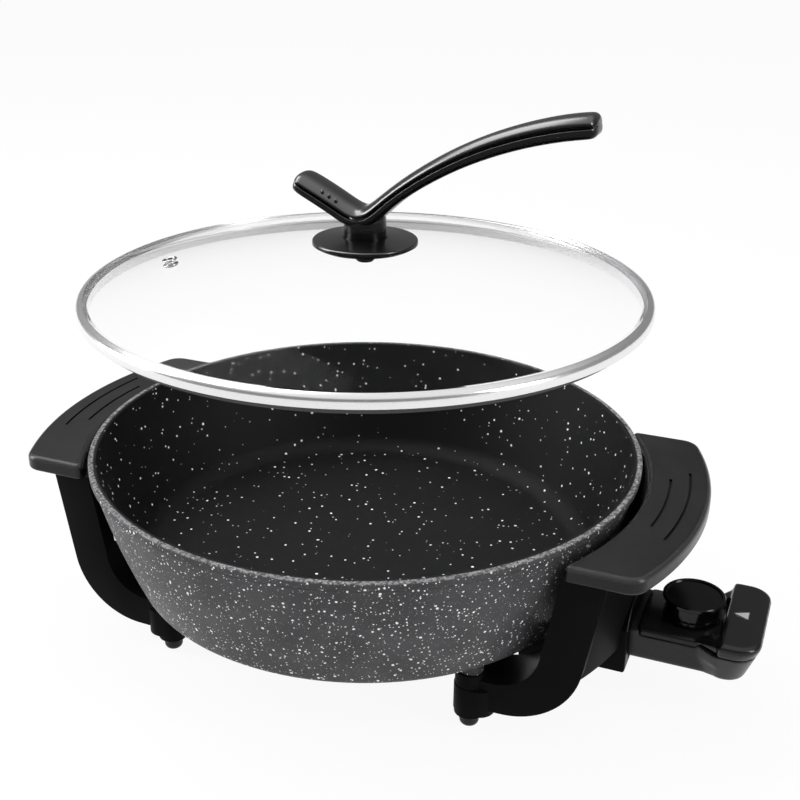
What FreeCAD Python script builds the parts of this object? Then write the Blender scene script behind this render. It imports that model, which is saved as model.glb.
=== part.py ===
import FreeCAD, Part
import math
import os
import Sketcher
from FreeCAD import Vector

# Electric hot pot with a lift-off glass lid and a plug-in thermostat control.
# Frame: +Z up, z = 0 on the bench, +X from the pot's axis towards the control.
# The origin is below the centre of the whole outline, so the pot's axis lies at x = pot_x.

doc = FreeCAD.newDocument("HotPot")


# ---------------------------------------------------------------------------
# Driving dimensions, in millimetres unless a name says otherwise
# ---------------------------------------------------------------------------

SIZES = {
    "Pan": {
        "rim_radius": 170, "rim_width": 5, "pan_wall": 3.4, "bead_height": 5, "bead_slope": 1.2,
        "pan_height": 80, "base_radius": 144, "floor_thickness": 5, "wall_bow": 420,
        "base_round": 5, "well_round": 14, "rim_round": 0.8, "stand_height": 50,
    },
    "Heater": {
        "tube_radius": 4, "ring_radius": 95, "lead_spacing": 24, "lead_bend": 18,
        "lead_inset": 12, "channel_gap": 0.1, "channel_rib": 2.6, "channel_depth": 7,
        "seat_fit": 0.05, "pin_radius": 2.4, "pin_point": 1, "pin_proud": 17,
        "insulator_radius": 4.6, "insulator_flange": 5.6, "insulator_length": 9, "plate_inset": 9,
        "plate_thickness": 1.2, "plate_half": 27, "plate_drop": 2.4, "plate_round": 3.4,
    },
    "Probe socket": {
        "probe_radius": 3.2, "probe_fit": 0.1, "probe_reach": 43, "probe_boss_wall": 3.2,
        "probe_boss_inset": 14, "probe_boss_length": 37, "probe_bore_slack": 3,
    },
    "Side stands": {
        "foot_inset": 16.7, "foot_y": 80, "leg_half": 86, "rib_depth": 10.5, "web": 3,
        "leg_clear": 2, "leg_top_clear": 2.6, "leg_top_reach": 3.3, "leg_lean": 9.5,
        "knee_inset": 22, "knee_out": 46, "knee_in": 28, "arm_low": 16, "arm_droop": 0.6,
        "arm_drop": 3, "shelf_depth": 32, "boss_radius": 9, "boss_low": 7, "boss_drop": 12,
        "boss_chamfer": 2, "collar_low": 12, "collar_high": 29, "collar_radius": 9.5,
        "collar_reach": 5.5, "skin_gap": 4.5, "skin": 3, "skin_drop": 2, "pan_boss_radius": 7.5,
    },
    "Wing handles": {
        "handle_gap": 4, "handle_width": 36.6, "handle_half": 91, "handle_drop": 6.6,
        "handle_thickness": 9.6, "handle_skin": 3.2, "handle_corner": 12,
        "handle_inner_corner": 3, "handle_edge": 3.2, "handle_under_edge": 1.5,
        "groove_inner": 13, "groove_outer": 24.5, "groove_inner_span": 19,
        "groove_outer_span": 25, "groove_width": 1.6, "groove_depth": 1.2,
        "handle_screw_boss": 4.5, "handle_rib": 2.4, "handle_rib_drop": 1, "handle_ribs": 3,
    },
    "Feet and screws": {
        "foot_radius": 5.7, "foot_round": 3.5, "stem_radius": 4.5, "stem_length": 8,
        "counterbore": 4.7, "bracket_head_radius": 4.4, "bracket_head_height": 3,
        "bracket_head_z": 20, "bracket_shank": 2.5, "bracket_bite": 9, "screw_gap": 0.2,
        "small_head_radius": 3.4, "small_head_height": 2, "small_shank": 1.7, "drive_radius": 1.4,
        "drive_depth": 1.2, "head_bevel": 0.9, "screw_point": 1, "hole_slack": 1,
    },
    "Socket shroud": {
        "collar_gap": 4.5, "base_gap": 11, "shroud_depth": 23, "shroud_proud": 0.5,
        "shroud_half": 34, "shroud_drop": 20, "shroud_shoulder": 8, "shroud_crown": 24,
        "shroud_wall": 3, "shroud_edge": 1.4, "tray_length": 39, "tray_half": 40,
        "tray_top_gap": 2, "shroud_gap": 0.3, "tray_screw_inset": 31, "tray_screw_y": 31,
        "tray_boss": 5, "tray_boss_drop": 12, "tray_screw_seat": 6, "lead_notch_half": 18,
        "lead_notch_drop": 8,
    },
    "Lid": {
        "lid_hover": 94, "lid_fit": 0.5, "seat_gap": 0.3, "band_inset": 1.5, "band_sheet": 1.2,
        "band_round": 3, "band_edge": 0.4, "skirt_depth": 4, "lip_width": 8.5, "glass_seat": 1.3,
        "glass_fit": 0.1, "glass_thickness": 4, "glass_rise": 25, "glass_edge_gap": 0.8,
        "glass_edge_round": 1.3, "vent_inset": 51.5, "vent_angle": 197, "vent_bore": 2,
        "vent_neck": 3.2, "vent_flange": 5.6, "vent_lip": 1, "vent_slack": 1.4,
    },
    "Lid knob": {
        "knob_hole": 4, "gasket_radius": 13, "gasket": 1, "washer_radius": 10, "washer": 1.2,
        "disc_radius": 31, "disc_bevel": 2.5, "disc_recess": 3, "disc_edge": 3.4,
        "disc_rise": 1.8, "disc_round": 1.1, "disc_skirt": 0.4, "hub_radius": 13.2,
        "hub_height": 0.8, "knob_stem_radius": 12.3, "knob_neck_inset": 0.6, "knob_neck_low": 2.4,
        "knob_neck_height": 0.8, "knob_screw_radius": 2.9, "knob_screw_head": 5.6,
        "knob_screw_rise": 3.6, "knob_screw_bite": 10,
    },
    "Lid knob's V": {
        "valley_x": -1.5, "valley_high": 18.3, "valley_round": 8, "valley_half": 12.4,
        "valley_side": 4.6, "valley_crown": 4, "arm_angle": 44, "arm_end_angle": 8,
        "arm_bow": 228, "arm_half": 9.6, "arm_side": 6.4, "arm_crown": 5, "thumb_angle": 34,
        "thumb_end_angle": 9, "thumb_bow": 80, "thumb_half": 12, "thumb_side": 6,
        "thumb_crown": 3.6, "crown_overhang": 0.6, "arm_end_round": 2.4, "stem_top": 12,
    },
    "Control body": {
        "dial_reach": 31, "nose_inset": 1, "nose_half": 24, "nose_fit": 0.6, "tub_low": 15.5,
        "tub_high": 4.5, "tub_wall": 2.6, "tub_edge": 3, "nose_edge": 1.5, "deck_start": 28,
        "deck_low": 1.2, "deck_edge": 5.6, "deck_high": 8, "deck_round": 2.2, "bar_start": 19,
        "bar_end": 43, "bar_half": 38, "bar_high": 14, "bar_seam_end": 40.2,
        "bar_seam_half": 34.5, "bar_foot_end": 34, "bar_foot_half": 26, "bar_corner": 13,
        "bar_foot_corner": 11, "bar_edge": 2.6, "bar_wall": 3.6, "bar_lap": 2, "cavity_start": 26,
        "cavity_end": 31,
    },
    "Control works": {
        "dial_radius": 18, "dial_lip": 2.5, "dial_neck": 15.5, "dial_high": 21.5, "dial_gap": 0.4,
        "dial_skirt": 16.6, "dial_skirt_height": 2.2, "dial_notches": 24, "dial_notch": 0.7,
        "dial_dish": 0.8, "dial_rim": 2, "dial_hollow": 11, "dial_hollow_high": 15, "dial_hub": 5,
        "dial_bevel": 0.5, "shaft_radius": 3, "shaft_fit": 0.08, "shaft_low": 7.6,
        "shaft_high": 15, "shaft_bevel": 0.6, "switch_length": 24, "switch_width": 26,
        "switch_height": 11, "switch_bevel": 1, "switch_collar": 6, "probe_point": 1.2,
        "sleeve_radius": 3.6, "sleeve_fit": 0.07, "sleeve_length": 22, "sleeve_recess": 2,
        "blade_width": 3, "blade_thickness": 0.6, "blade_inset": 2.9, "bush_flange": 6.8,
        "bush_radius": 5.2, "bush_bore": 3.7, "bush_length": 11, "bush_proud": 2.5,
        "bush_bevel": 0.8, "bush_x": 27, "bush_drop": 6, "bush_boss": 7.5, "bush_face": 35,
        "lens_length": 8, "lens_half": 3.8, "lens_x": 23.5, "lens_proud": 0.4, "lamp_radius": 2.2,
        "lamp_length": 7, "lamp_bevel": 1.1, "case_screw_front": 19, "case_screw_back": 29,
        "case_screw_front_y": 16, "case_screw_back_y": 14, "case_boss": 5.2,
        "case_boss_drop": 4, "case_bar_boss": 4.2, "case_recess": 3, "case_screw_slack": 0.5,
    },
}


class Size:
    """A number together with the spreadsheet formula that gives it."""

    def __init__(self, value, formula):
        self.value = float(value)
        self.formula = formula

    def __add__(self, other):
        other = as_size(other)
        return Size(self.value + other.value, f"({self.formula} + {other.formula})")

    def __sub__(self, other):
        other = as_size(other)
        return Size(self.value - other.value, f"({self.formula} - {other.formula})")

    def __mul__(self, other):
        other = as_size(other)
        return Size(self.value * other.value, f"({self.formula} * {other.formula})")

    def __truediv__(self, other):
        other = as_size(other)
        return Size(self.value / other.value, f"({self.formula} / {other.formula})")

    def __neg__(self):
        return Size(-self.value, f"(0 - {self.formula})")

    def __radd__(self, other):
        return as_size(other) + self

    def __rsub__(self, other):
        return as_size(other) - self

    def __rmul__(self, other):
        return as_size(other) * self


def as_size(number):
    return number if isinstance(number, Size) else Size(number, repr(float(number)))


def root(size):
    return Size(math.sqrt(size.value), f"sqrt({size.formula})")


def across(radius, offset):
    """Distance from the axis plane to a circle of this radius, at this sideways offset."""
    return root(radius * radius - offset * offset)


def larger(one, other):
    """The larger of two sizes."""
    return Size(max(one.value, other.value), f"max({one.formula}; {other.formula})")


def cosine(degrees):
    return Size(math.cos(math.radians(degrees.value)), f"cos({degrees.formula})")


def sine(degrees):
    return Size(math.sin(math.radians(degrees.value)), f"sin({degrees.formula})")


class Names:
    """The spreadsheet's sizes, each under its own name."""


def fill_spreadsheet():
    sheet = doc.addObject("Spreadsheet::Sheet", "Sizes")
    names = Names()
    row = 1
    for title, group in SIZES.items():
        sheet.set(f"A{row}", title)
        row += 1
        for name, value in group.items():
            sheet.set(f"A{row}", name)
            sheet.set(f"B{row}", str(value))
            sheet.setAlias(f"B{row}", name)
            setattr(names, name, Size(value, f"Sizes.{name}"))
            row += 1
    return names


s = fill_spreadsheet()
doc.recompute()

# Levels and places that several pieces share. An x that is a place on the pot is measured from
# the pot's axis, and one that is a place on the control from the dial's axis.
rim_top = s.stand_height + s.pan_height
socket_z = s.stand_height - s.tube_radius
inside_top = s.rim_radius - s.rim_width
wall_slope = (inside_top + s.pan_wall - s.base_radius) / (s.pan_height - s.bead_height)
handle_top = rim_top - s.handle_drop
handle_low = handle_top - s.handle_thickness
handle_inner = s.rim_radius + s.handle_gap
lead_y = s.lead_spacing / 2
probe_bore = s.probe_radius + s.probe_fit
lid_z = rim_top + s.seat_gap + s.lid_hover


def wall_radius(height):
    """Radius of the pan's sloping outside at this height."""
    return s.base_radius + wall_slope * (height - s.stand_height)


# The stands follow the pan's base below and its rim above
foot_x = across(s.base_radius - s.foot_inset, s.foot_y)
boss_high = s.stand_height - s.boss_drop
arm_high = boss_high - s.arm_drop
knee_top = arm_high + s.knee_in
leg_inner = across(wall_radius(knee_top), s.leg_half - s.shelf_depth) + s.leg_clear
leg_top_inner = across(wall_radius(handle_low), s.leg_half - s.rib_depth) + s.leg_top_clear
leg_top_outer = s.rim_radius + s.leg_top_reach
skin_low = socket_z - s.skin_drop
skin_radius = s.rim_radius + s.skin_gap
skin_outer = skin_radius + s.skin
handle_screw_y = s.leg_half - (s.rib_depth + s.web) / 2
handle_screw_x = across(skin_outer + s.small_head_radius + s.seat_gap, handle_screw_y)

# The socket's collar stands clear of the pan's sloping wall behind and comes through the stand's
# skin in front. The control follows the collar.
shroud_low = socket_z - s.shroud_drop
shroud_shoulder = socket_z + s.shroud_shoulder
shroud_crown = socket_z + s.shroud_crown
shroud_back = larger(wall_radius(shroud_crown) + s.collar_gap, s.base_radius + s.base_gap)
shroud_front = larger(shroud_back + s.shroud_depth, skin_outer + s.shroud_proud)
shroud_depth = shroud_front - shroud_back
tray_boss_top = s.stand_height - s.tray_boss_drop
tray_screw_x = shroud_back - s.tray_screw_inset
lead_end = shroud_back - s.lead_inset
probe_tip = shroud_back - s.probe_reach
dial_x = shroud_front + s.dial_reach
pot_x = (handle_inner + s.handle_width - dial_x - s.bar_end) / 2


# ---------------------------------------------------------------------------
# Drawing helpers
# ---------------------------------------------------------------------------

def new_body(name, x=pot_x, y=0, z=0, turn=0, tilt=0):
    """A PartDesign body at (x, y, z), turned about Z, or tilted so that its Z points along X or Y."""
    body = doc.addObject("PartDesign::Body", name)
    body.Label = name
    axis = {0: Vector(0, 0, 1), "to_x": Vector(0, 1, 0), "to_y": Vector(-1, 0, 0)}[tilt]
    angle = turn if tilt == 0 else 90
    body.Placement = FreeCAD.Placement(Vector(), FreeCAD.Rotation(axis, angle))
    for letter, place in zip("xyz", (x, y, z)):
        body.setExpression(f"Placement.Base.{letter}", as_size(place).formula)
    return body


def pin_point(sketch, edge, end, x, y):
    """Hold one end of an edge at (x, y)."""
    for kind, axis, size in (("DistanceX", -2, x), ("DistanceY", -1, y)):
        size = as_size(size)
        if abs(size.value) < 1e-9:
            sketch.addConstraint(Sketcher.Constraint("PointOnObject", edge, end, axis))
            continue
        number = sketch.addConstraint(Sketcher.Constraint(kind, -1, 1, edge, end, size.value))
        sketch.setExpression(f"Constraints[{number}]", size.formula)


def arc_between(start, end, radius):
    """The short arc from start to end: a positive radius turns left, a negative one right."""
    chord = end - start
    middle = (start + end) * 0.5
    left = Vector(-chord.y, chord.x, 0).normalize()
    reach = math.sqrt(max(radius * radius - chord.Length ** 2 / 4, 0))
    centre = middle + left * (reach if radius > 0 else -reach)
    first, last = (start, end) if radius > 0 else (end, start)
    angles = [math.atan2(point.y - centre.y, point.x - centre.x) for point in (first, last)]
    if angles[1] < angles[0]:
        angles[1] += 2 * math.pi
    return Part.ArcOfCircle(Part.Circle(centre, Vector(0, 0, 1), abs(radius)), *angles)


def draw_outline(sketch, corners, closed=True):
    """Edges through the corners. A corner (x, y, radius) is reached by an arc of that radius,
    and the first corner's radius is that of the edge that closes the outline."""
    points = [Vector(as_size(c[0]).value, as_size(c[1]).value, 0) for c in corners]
    ends = []
    steps = list(range(1, len(corners))) + ([0] if closed else [])
    for step in steps:
        start, end = points[step - 1], points[step]
        if len(corners[step]) == 3:
            radius = as_size(corners[step][2])
            edge = sketch.addGeometry(arc_between(start, end, radius.value))
            number = sketch.addConstraint(Sketcher.Constraint("Radius", edge, abs(radius.value)))
            sign = "" if radius.value > 0 else "0 - "
            sketch.setExpression(f"Constraints[{number}]", sign + radius.formula)
            ends.append((edge, 1, 2) if radius.value > 0 else (edge, 2, 1))
        else:
            edge = sketch.addGeometry(Part.LineSegment(start, end))
            ends.append((edge, 1, 2))
    for (edge, _, tail), (following, head, _) in zip(ends, ends[1:]):
        sketch.addConstraint(Sketcher.Constraint("Coincident", edge, tail, following, head))
    if closed:
        sketch.addConstraint(Sketcher.Constraint(
            "Coincident", ends[-1][0], ends[-1][2], ends[0][0], ends[0][1]))
    for (edge, head, _), corner in zip(ends, corners):
        pin_point(sketch, edge, head, corner[0], corner[1])
    if not closed:
        pin_point(sketch, ends[-1][0], ends[-1][2], corners[-1][0], corners[-1][1])


def draw_circle(sketch, x, y, radius):
    centre = Vector(as_size(x).value, as_size(y).value, 0)
    edge = sketch.addGeometry(Part.Circle(centre, Vector(0, 0, 1), as_size(radius).value))
    number = sketch.addConstraint(Sketcher.Constraint("Radius", edge, as_size(radius).value))
    sketch.setExpression(f"Constraints[{number}]", as_size(radius).formula)
    pin_point(sketch, edge, 3, x, y)


def box_corners(x0, x1, y0, y1):
    return [(x0, y0), (x1, y0), (x1, y1), (x0, y1)]


def new_sketch(body, plane, outlines=(), circles=(), offset=0, closed=True):
    """A sketch on one of the body's own planes, moved along that plane's normal by offset."""
    sketch = body.newObject("Sketcher::SketchObject", "Sketch")
    support = next(item for item in body.Origin.OriginFeatures if item.Role == plane)
    sketch.AttachmentSupport = [(support, "")]
    sketch.MapMode = "FlatFace"
    sketch.setExpression("AttachmentOffset.Base.z", as_size(offset).formula)
    for corners in outlines:
        draw_outline(sketch, corners, closed)
    for circle in circles:
        draw_circle(sketch, *circle)
    if sketch.solve() != 0:
        raise RuntimeError(f"{body.Label}: {sketch.Name} can't be solved")
    sketch.Visibility = False
    return sketch


def extrude(body, kind, sketch, length, back=False, both=False, second=None):
    """A Pad or Pocket of a sketch, one way, both ways alike, or two ways with a second length."""
    feature = body.newObject(f"PartDesign::{kind}", kind)
    feature.Profile = sketch
    feature.setExpression("Length", as_size(length).formula)
    feature.Reversed = back
    if both:
        feature.SideType = "Symmetric"
    if second is not None:
        feature.SideType = "Two sides"
        feature.setExpression("Length2", as_size(second).formula)
    doc.recompute()
    return feature


def pad(body, plane, length, **drawing):
    """Pad away from the plane along its normal. back, both and second set the sides."""
    sides = {key: drawing.pop(key) for key in ("back", "both", "second") if key in drawing}
    return extrude(body, "Pad", new_sketch(body, plane, **drawing), length, **sides)


def pocket(body, plane, length, **drawing):
    """Cut along the plane's normal, the same way as a pad with the same arguments would grow."""
    sides = {key: drawing.pop(key) for key in ("back", "both", "second") if key in drawing}
    sides["back"] = not sides.get("back", False)
    before = body.Tip.Shape.Volume
    feature = extrude(body, "Pocket", new_sketch(body, plane, **drawing), length, **sides)
    if feature.Shape.Volume > before - 1e-6:
        raise RuntimeError(f"{body.Label}: {feature.Name} cuts nothing")
    return feature


def turn_profile(body, corners, kind="Revolution"):
    """Revolve an outline of (radius, height) corners about the body's Z axis."""
    sketch = new_sketch(body, "XZ_Plane", outlines=[corners])
    feature = body.newObject(f"PartDesign::{kind}", kind)
    feature.Profile = sketch
    feature.ReferenceAxis = (sketch, ["V_Axis"])
    feature.Angle = 360
    doc.recompute()
    return feature


def turned(name, corners, **place):
    body = new_body(name, **place)
    turn_profile(body, corners)
    return body


def round_edges(body, radius, choose, kind="Fillet"):
    """Round or bevel the edges of the body that choose(edge) picks."""
    base = body.Tip
    edges = base.Shape.Edges
    picked = [f"Edge{number}" for number, edge in enumerate(edges, 1) if choose(edge)]
    if not picked:
        raise RuntimeError(f"{body.Label}: no edge to round")
    feature = body.newObject(f"PartDesign::{kind}", kind)
    feature.Base = (base, picked)
    feature.setExpression("Radius" if kind == "Fillet" else "Size", as_size(radius).formula)
    doc.recompute()
    return feature


def mirror(body, features, plane):
    feature = body.newObject("PartDesign::Mirrored", "Mirrored")
    feature.Originals = features
    feature.MirrorPlane = (next(i for i in body.Origin.OriginFeatures if i.Role == plane), [""])
    body.Tip = feature
    doc.recompute()
    return feature


def group(name, members):
    """Identical pieces in one node, each a solid of its own."""
    compound = doc.addObject("Part::Compound", name)
    compound.Label = name
    compound.Links = members
    return compound


def same(value, size, slack=0.02):
    return abs(value - as_size(size).value) < slack


def is_ring(edge, radius, height):
    """True for a level round edge of this radius about the body's axis, at this height."""
    box = edge.BoundBox
    return (same(box.ZMin, height) and same(box.ZMax, height)
            and same(max(abs(box.XMin), abs(box.XMax)), radius))


def is_hole_rim(edge, radius, height):
    """True for a level round edge of this radius at this height, wherever its centre is."""
    box = edge.BoundBox
    return (same(box.ZMin, height) and same(box.ZMax, height) and hasattr(edge.Curve, "Radius")
            and same(edge.Curve.Radius, radius))


# ---------------------------------------------------------------------------
# Pan and heater
# ---------------------------------------------------------------------------

def make_pot_body():
    body = new_body("pot_body")
    base = s.stand_height
    floor = base + s.floor_thickness
    bead_low = rim_top - s.bead_height
    inside_low = inside_top - wall_slope * (s.pan_height - s.floor_thickness)
    turn_profile(body, [
        (0, base),
        (s.base_radius, base),
        (inside_top + s.pan_wall, bead_low, s.wall_bow),
        (s.rim_radius, bead_low + s.bead_slope),
        (s.rim_radius, rim_top),
        (inside_top, rim_top),
        (inside_low, floor, -(s.wall_bow + s.pan_wall)),
        (0, floor),
    ])
    round_edges(body, s.base_round, lambda e: is_ring(e, s.base_radius, base))
    round_edges(body, s.well_round, lambda e: is_ring(e, inside_low, floor))
    round_edges(body, s.rim_round, lambda e: is_ring(e, s.rim_radius, rim_top)
                or is_ring(e, inside_top, rim_top))

    # Channel that holds the heater: two ring ribs, open where the heater's leads pass
    half_channel = s.tube_radius + s.channel_gap
    for inner in (s.ring_radius - half_channel - s.channel_rib, s.ring_radius + half_channel):
        pad(body, "XY_Plane", s.channel_depth, offset=base, back=True,
            circles=[(0, 0, inner), (0, 0, inner + s.channel_rib)])
    lead_gap = lead_y + s.lead_bend
    pocket(body, "XY_Plane", s.channel_depth, offset=base, back=True, outlines=[
        box_corners(s.ring_radius, s.ring_radius + half_channel + s.channel_rib + s.hole_slack,
                    -lead_gap, lead_gap)])

    # Bosses for the stands and for the shroud
    stand_bosses = [(x * foot_x, y * s.foot_y) for x in (1, -1) for y in (1, -1)]
    pad(body, "XY_Plane", base - boss_high, offset=base, back=True,
        circles=[(x, y, s.pan_boss_radius) for x, y in stand_bosses])
    shroud_bosses = [(tray_screw_x, y * s.tray_screw_y) for y in (1, -1)]
    pad(body, "XY_Plane", base - tray_boss_top, offset=base, back=True,
        circles=[(x, y, s.tray_boss) for x, y in shroud_bosses])
    pocket(body, "XY_Plane", s.bracket_bite + s.hole_slack, offset=boss_high,
           circles=[(x, y, s.bracket_shank + s.screw_gap / 2) for x, y in stand_bosses])
    pocket(body, "XY_Plane", s.bracket_bite, offset=tray_boss_top,
           circles=[(x, y, s.small_shank + s.screw_gap / 2) for x, y in shroud_bosses])

    # Boss with the bore that the control's probe slides into
    boss_half = probe_bore + s.probe_boss_wall
    boss_low = socket_z - boss_half
    boss_end = shroud_back - s.probe_boss_inset
    boss_top = base + s.floor_thickness / 2
    bore_start = probe_tip - s.probe_bore_slack
    pad(body, "YZ_Plane", s.probe_boss_length, offset=boss_end - s.probe_boss_length, outlines=[[
        (-boss_half, socket_z), (0, boss_low, boss_half), (boss_half, socket_z, boss_half),
        (boss_half, boss_top), (-boss_half, boss_top)]])
    pocket(body, "YZ_Plane", boss_end - bore_start, offset=bore_start,
           circles=[(0, socket_z, probe_bore)])
    return body


def make_heating_element():
    """A steel tube: two straight leads that bend out into a ring."""
    body = new_body("heating_element", z=socket_z)
    reach = s.ring_radius + s.lead_bend
    bend_y = lead_y + s.lead_bend
    bend_x = across(reach, bend_y)
    meet_x = bend_x * s.ring_radius / reach
    meet_y = bend_y * s.ring_radius / reach
    path = new_sketch(body, "XY_Plane", closed=False, outlines=[[
        (lead_end, lead_y),
        (bend_x, lead_y),
        (meet_x, meet_y, -s.lead_bend),
        (-s.ring_radius, 0, s.ring_radius),
        (meet_x, -meet_y, s.ring_radius),
        (bend_x, -lead_y, -s.lead_bend),
        (lead_end, -lead_y),
    ]])
    section = new_sketch(body, "YZ_Plane", offset=lead_end, circles=[(lead_y, 0, s.tube_radius)])
    pipe = body.newObject("PartDesign::AdditivePipe", "Tube")
    pipe.Profile = section
    pipe.Spine = path
    doc.recompute()
    length = sum(edge.Length for edge in path.Shape.Edges)
    print(f"heater length {length:.0f} mm, volume ratio "
          f"{pipe.Shape.Volume / (length * math.pi * s.tube_radius.value ** 2):.4f}")
    return body


def make_terminals():
    """The two cold pins, their ceramic bushes and the plate that carries them."""
    made = []
    plate_x = shroud_back - s.plate_inset
    plate_back = plate_x + s.plate_thickness
    pin_reach = shroud_back + s.pin_proud
    bore = s.pin_radius + s.seat_fit
    bush_end = lead_end + s.insulator_length
    for side, name in ((-1, "front"), (1, "rear")):
        place = {"x": pot_x, "y": side * lead_y, "z": socket_z, "tilt": "to_x"}
        made.append(turned(f"terminal_pin_{name}", [
            (0, lead_end), (s.pin_radius, lead_end), (s.pin_radius, pin_reach - s.pin_point),
            (s.pin_radius - s.pin_point, pin_reach), (0, pin_reach)], **place))
        made.append(turned(f"insulator_{name}", [
            (bore, lead_end), (s.insulator_radius, lead_end), (s.insulator_radius, plate_back),
            (s.insulator_flange, plate_back), (s.insulator_flange, bush_end - s.pin_point),
            (s.insulator_flange - s.pin_point, bush_end), (bore, bush_end)], **place))
    plate = new_body("terminal_plate")
    plate_high = s.stand_height - s.plate_drop
    pad(plate, "YZ_Plane", s.plate_thickness, offset=plate_x, outlines=[
        box_corners(-s.plate_half, s.plate_half, shroud_low + s.shroud_wall, plate_high)])
    round_edges(plate, s.plate_round, lambda e: same(abs(e.CenterOfMass.y), s.plate_half)
                and same(e.BoundBox.XLength, s.plate_thickness) and same(e.CenterOfMass.z, plate_high))
    hole = s.insulator_radius + s.seat_fit
    pocket(plate, "YZ_Plane", s.plate_thickness, offset=plate_x, circles=[
        (-lead_y, socket_z, hole), (lead_y, socket_z, hole)])
    pocket(plate, "YZ_Plane", s.plate_thickness, offset=plate_x,
           circles=[(0, socket_z, s.probe_radius + s.nose_fit)])
    return made + [plate]


# ---------------------------------------------------------------------------
# Stands, handles, feet and their screws
# ---------------------------------------------------------------------------

def leg_outline(inset=0):
    """The J-shaped side face of a stand, drawn smaller all round by inset. The outer knee's arc
    runs into the leaning leg."""
    knee_x = leg_inner - s.knee_inset
    knee_z = s.arm_low + s.knee_out
    knee = s.knee_out - inset
    hollow_x = leg_inner - s.knee_in
    low = s.arm_low + inset
    high = arm_high - inset
    end = foot_x + inset
    return [
        (leg_top_outer - inset, handle_low - inset),
        (knee_x + knee * cosine(s.leg_lean), knee_z - knee * sine(s.leg_lean)),
        (knee_x, low, -knee),
        (end, low - s.arm_droop),
        (end, high),
        (hollow_x, high),
        (leg_inner + inset, knee_top, s.knee_in + inset),
        (leg_top_inner + inset, handle_low - inset),
    ]


def make_bracket(name, turn):
    """A stand: two J-shaped ribs joined by a curved skin, with a boss over each foot."""
    body = new_body(name, turn=turn)
    rib = pad(body, "XZ_Plane", s.rib_depth, offset=s.leg_half, back=True, outlines=[leg_outline()])
    hollow = pocket(body, "XZ_Plane", s.rib_depth - s.web, offset=s.leg_half - s.web, back=True,
                    outlines=[leg_outline(s.web)])

    # Shelf along the hollow side of the arm
    hollow_x = leg_inner - s.knee_in
    shelf = pad(body, "XZ_Plane", s.shelf_depth, offset=s.leg_half, back=True, outlines=[[
        (foot_x, arm_high - s.web),
        (hollow_x, arm_high - s.web),
        (leg_inner + s.web, knee_top, s.knee_in + s.web),
        (leg_inner, knee_top),
        (hollow_x, arm_high, -s.knee_in),
        (foot_x, arm_high)]])

    # Boss over the foot, with the collar that ties it to the arm
    boss = pad(body, "XY_Plane", boss_high - s.boss_low, offset=s.boss_low,
               circles=[(foot_x, -s.foot_y, s.boss_radius)])
    reach_x = foot_x + s.collar_reach
    near = -s.foot_y - s.collar_radius
    far = -s.foot_y + s.collar_radius
    collar = pad(body, "XY_Plane", s.collar_high - s.collar_low, offset=s.collar_low, outlines=[[
        (foot_x, near, s.collar_radius), (reach_x, near),
        (reach_x + s.collar_radius, -s.foot_y, s.collar_radius), (reach_x, far, s.collar_radius),
        (foot_x, far), (foot_x - s.collar_radius, -s.foot_y, s.collar_radius)]])
    counterbore = pocket(body, "XY_Plane", s.bracket_head_z + s.bracket_head_height - s.boss_low,
                         offset=s.boss_low, circles=[(foot_x, -s.foot_y, s.counterbore)])
    hole = pocket(body, "XY_Plane", boss_high - s.bracket_head_z, offset=s.bracket_head_z,
                  circles=[(foot_x, -s.foot_y, s.bracket_shank + s.screw_gap)])
    screw_hole = pocket(body, "XY_Plane", 2 * s.web, offset=handle_low, back=True,
                        circles=[(handle_screw_x, -handle_screw_y, s.small_shank + s.screw_gap)])
    mirror(body, [rib, hollow, shelf, boss, collar, counterbore, hole, screw_hole], "XZ_Plane")
    round_edges(body, s.boss_chamfer, lambda e: is_hole_rim(e, s.boss_radius, s.boss_low), kind="Chamfer")

    # Curved skin between the ribs
    skin_end = s.leg_half - s.rib_depth / 2
    pad(body, "XY_Plane", handle_low - skin_low, offset=skin_low, outlines=[[
        (across(skin_radius, skin_end), -skin_end, -skin_radius),
        (across(skin_outer, skin_end), -skin_end),
        (across(skin_outer, skin_end), skin_end, skin_outer),
        (across(skin_radius, skin_end), skin_end)]])
    return body


def shroud_arch(inset):
    """Radius and crown height of the shroud's arch, drawn smaller by inset."""
    rise = shroud_crown - shroud_shoulder
    return (s.shroud_half * s.shroud_half + rise * rise) / (2 * rise) - inset, shroud_crown - inset


def arched(half, low, inset):
    """A flat-bottomed arch as (y, z) corners, its top following the shroud's own arch."""
    arch, crown = shroud_arch(inset)
    shoulder = crown - arch + across(arch, half)
    return [(-half, low), (half, low), (half, shoulder), (0, crown, arch), (-half, shoulder, arch)]


def make_right_bracket():
    body = make_bracket("right_bracket", 0)
    pocket(body, "YZ_Plane", shroud_depth, offset=shroud_back,
           outlines=[arched(s.shroud_half + s.shroud_gap, shroud_low - s.shroud_wall, -s.shroud_gap)])
    return body


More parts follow.
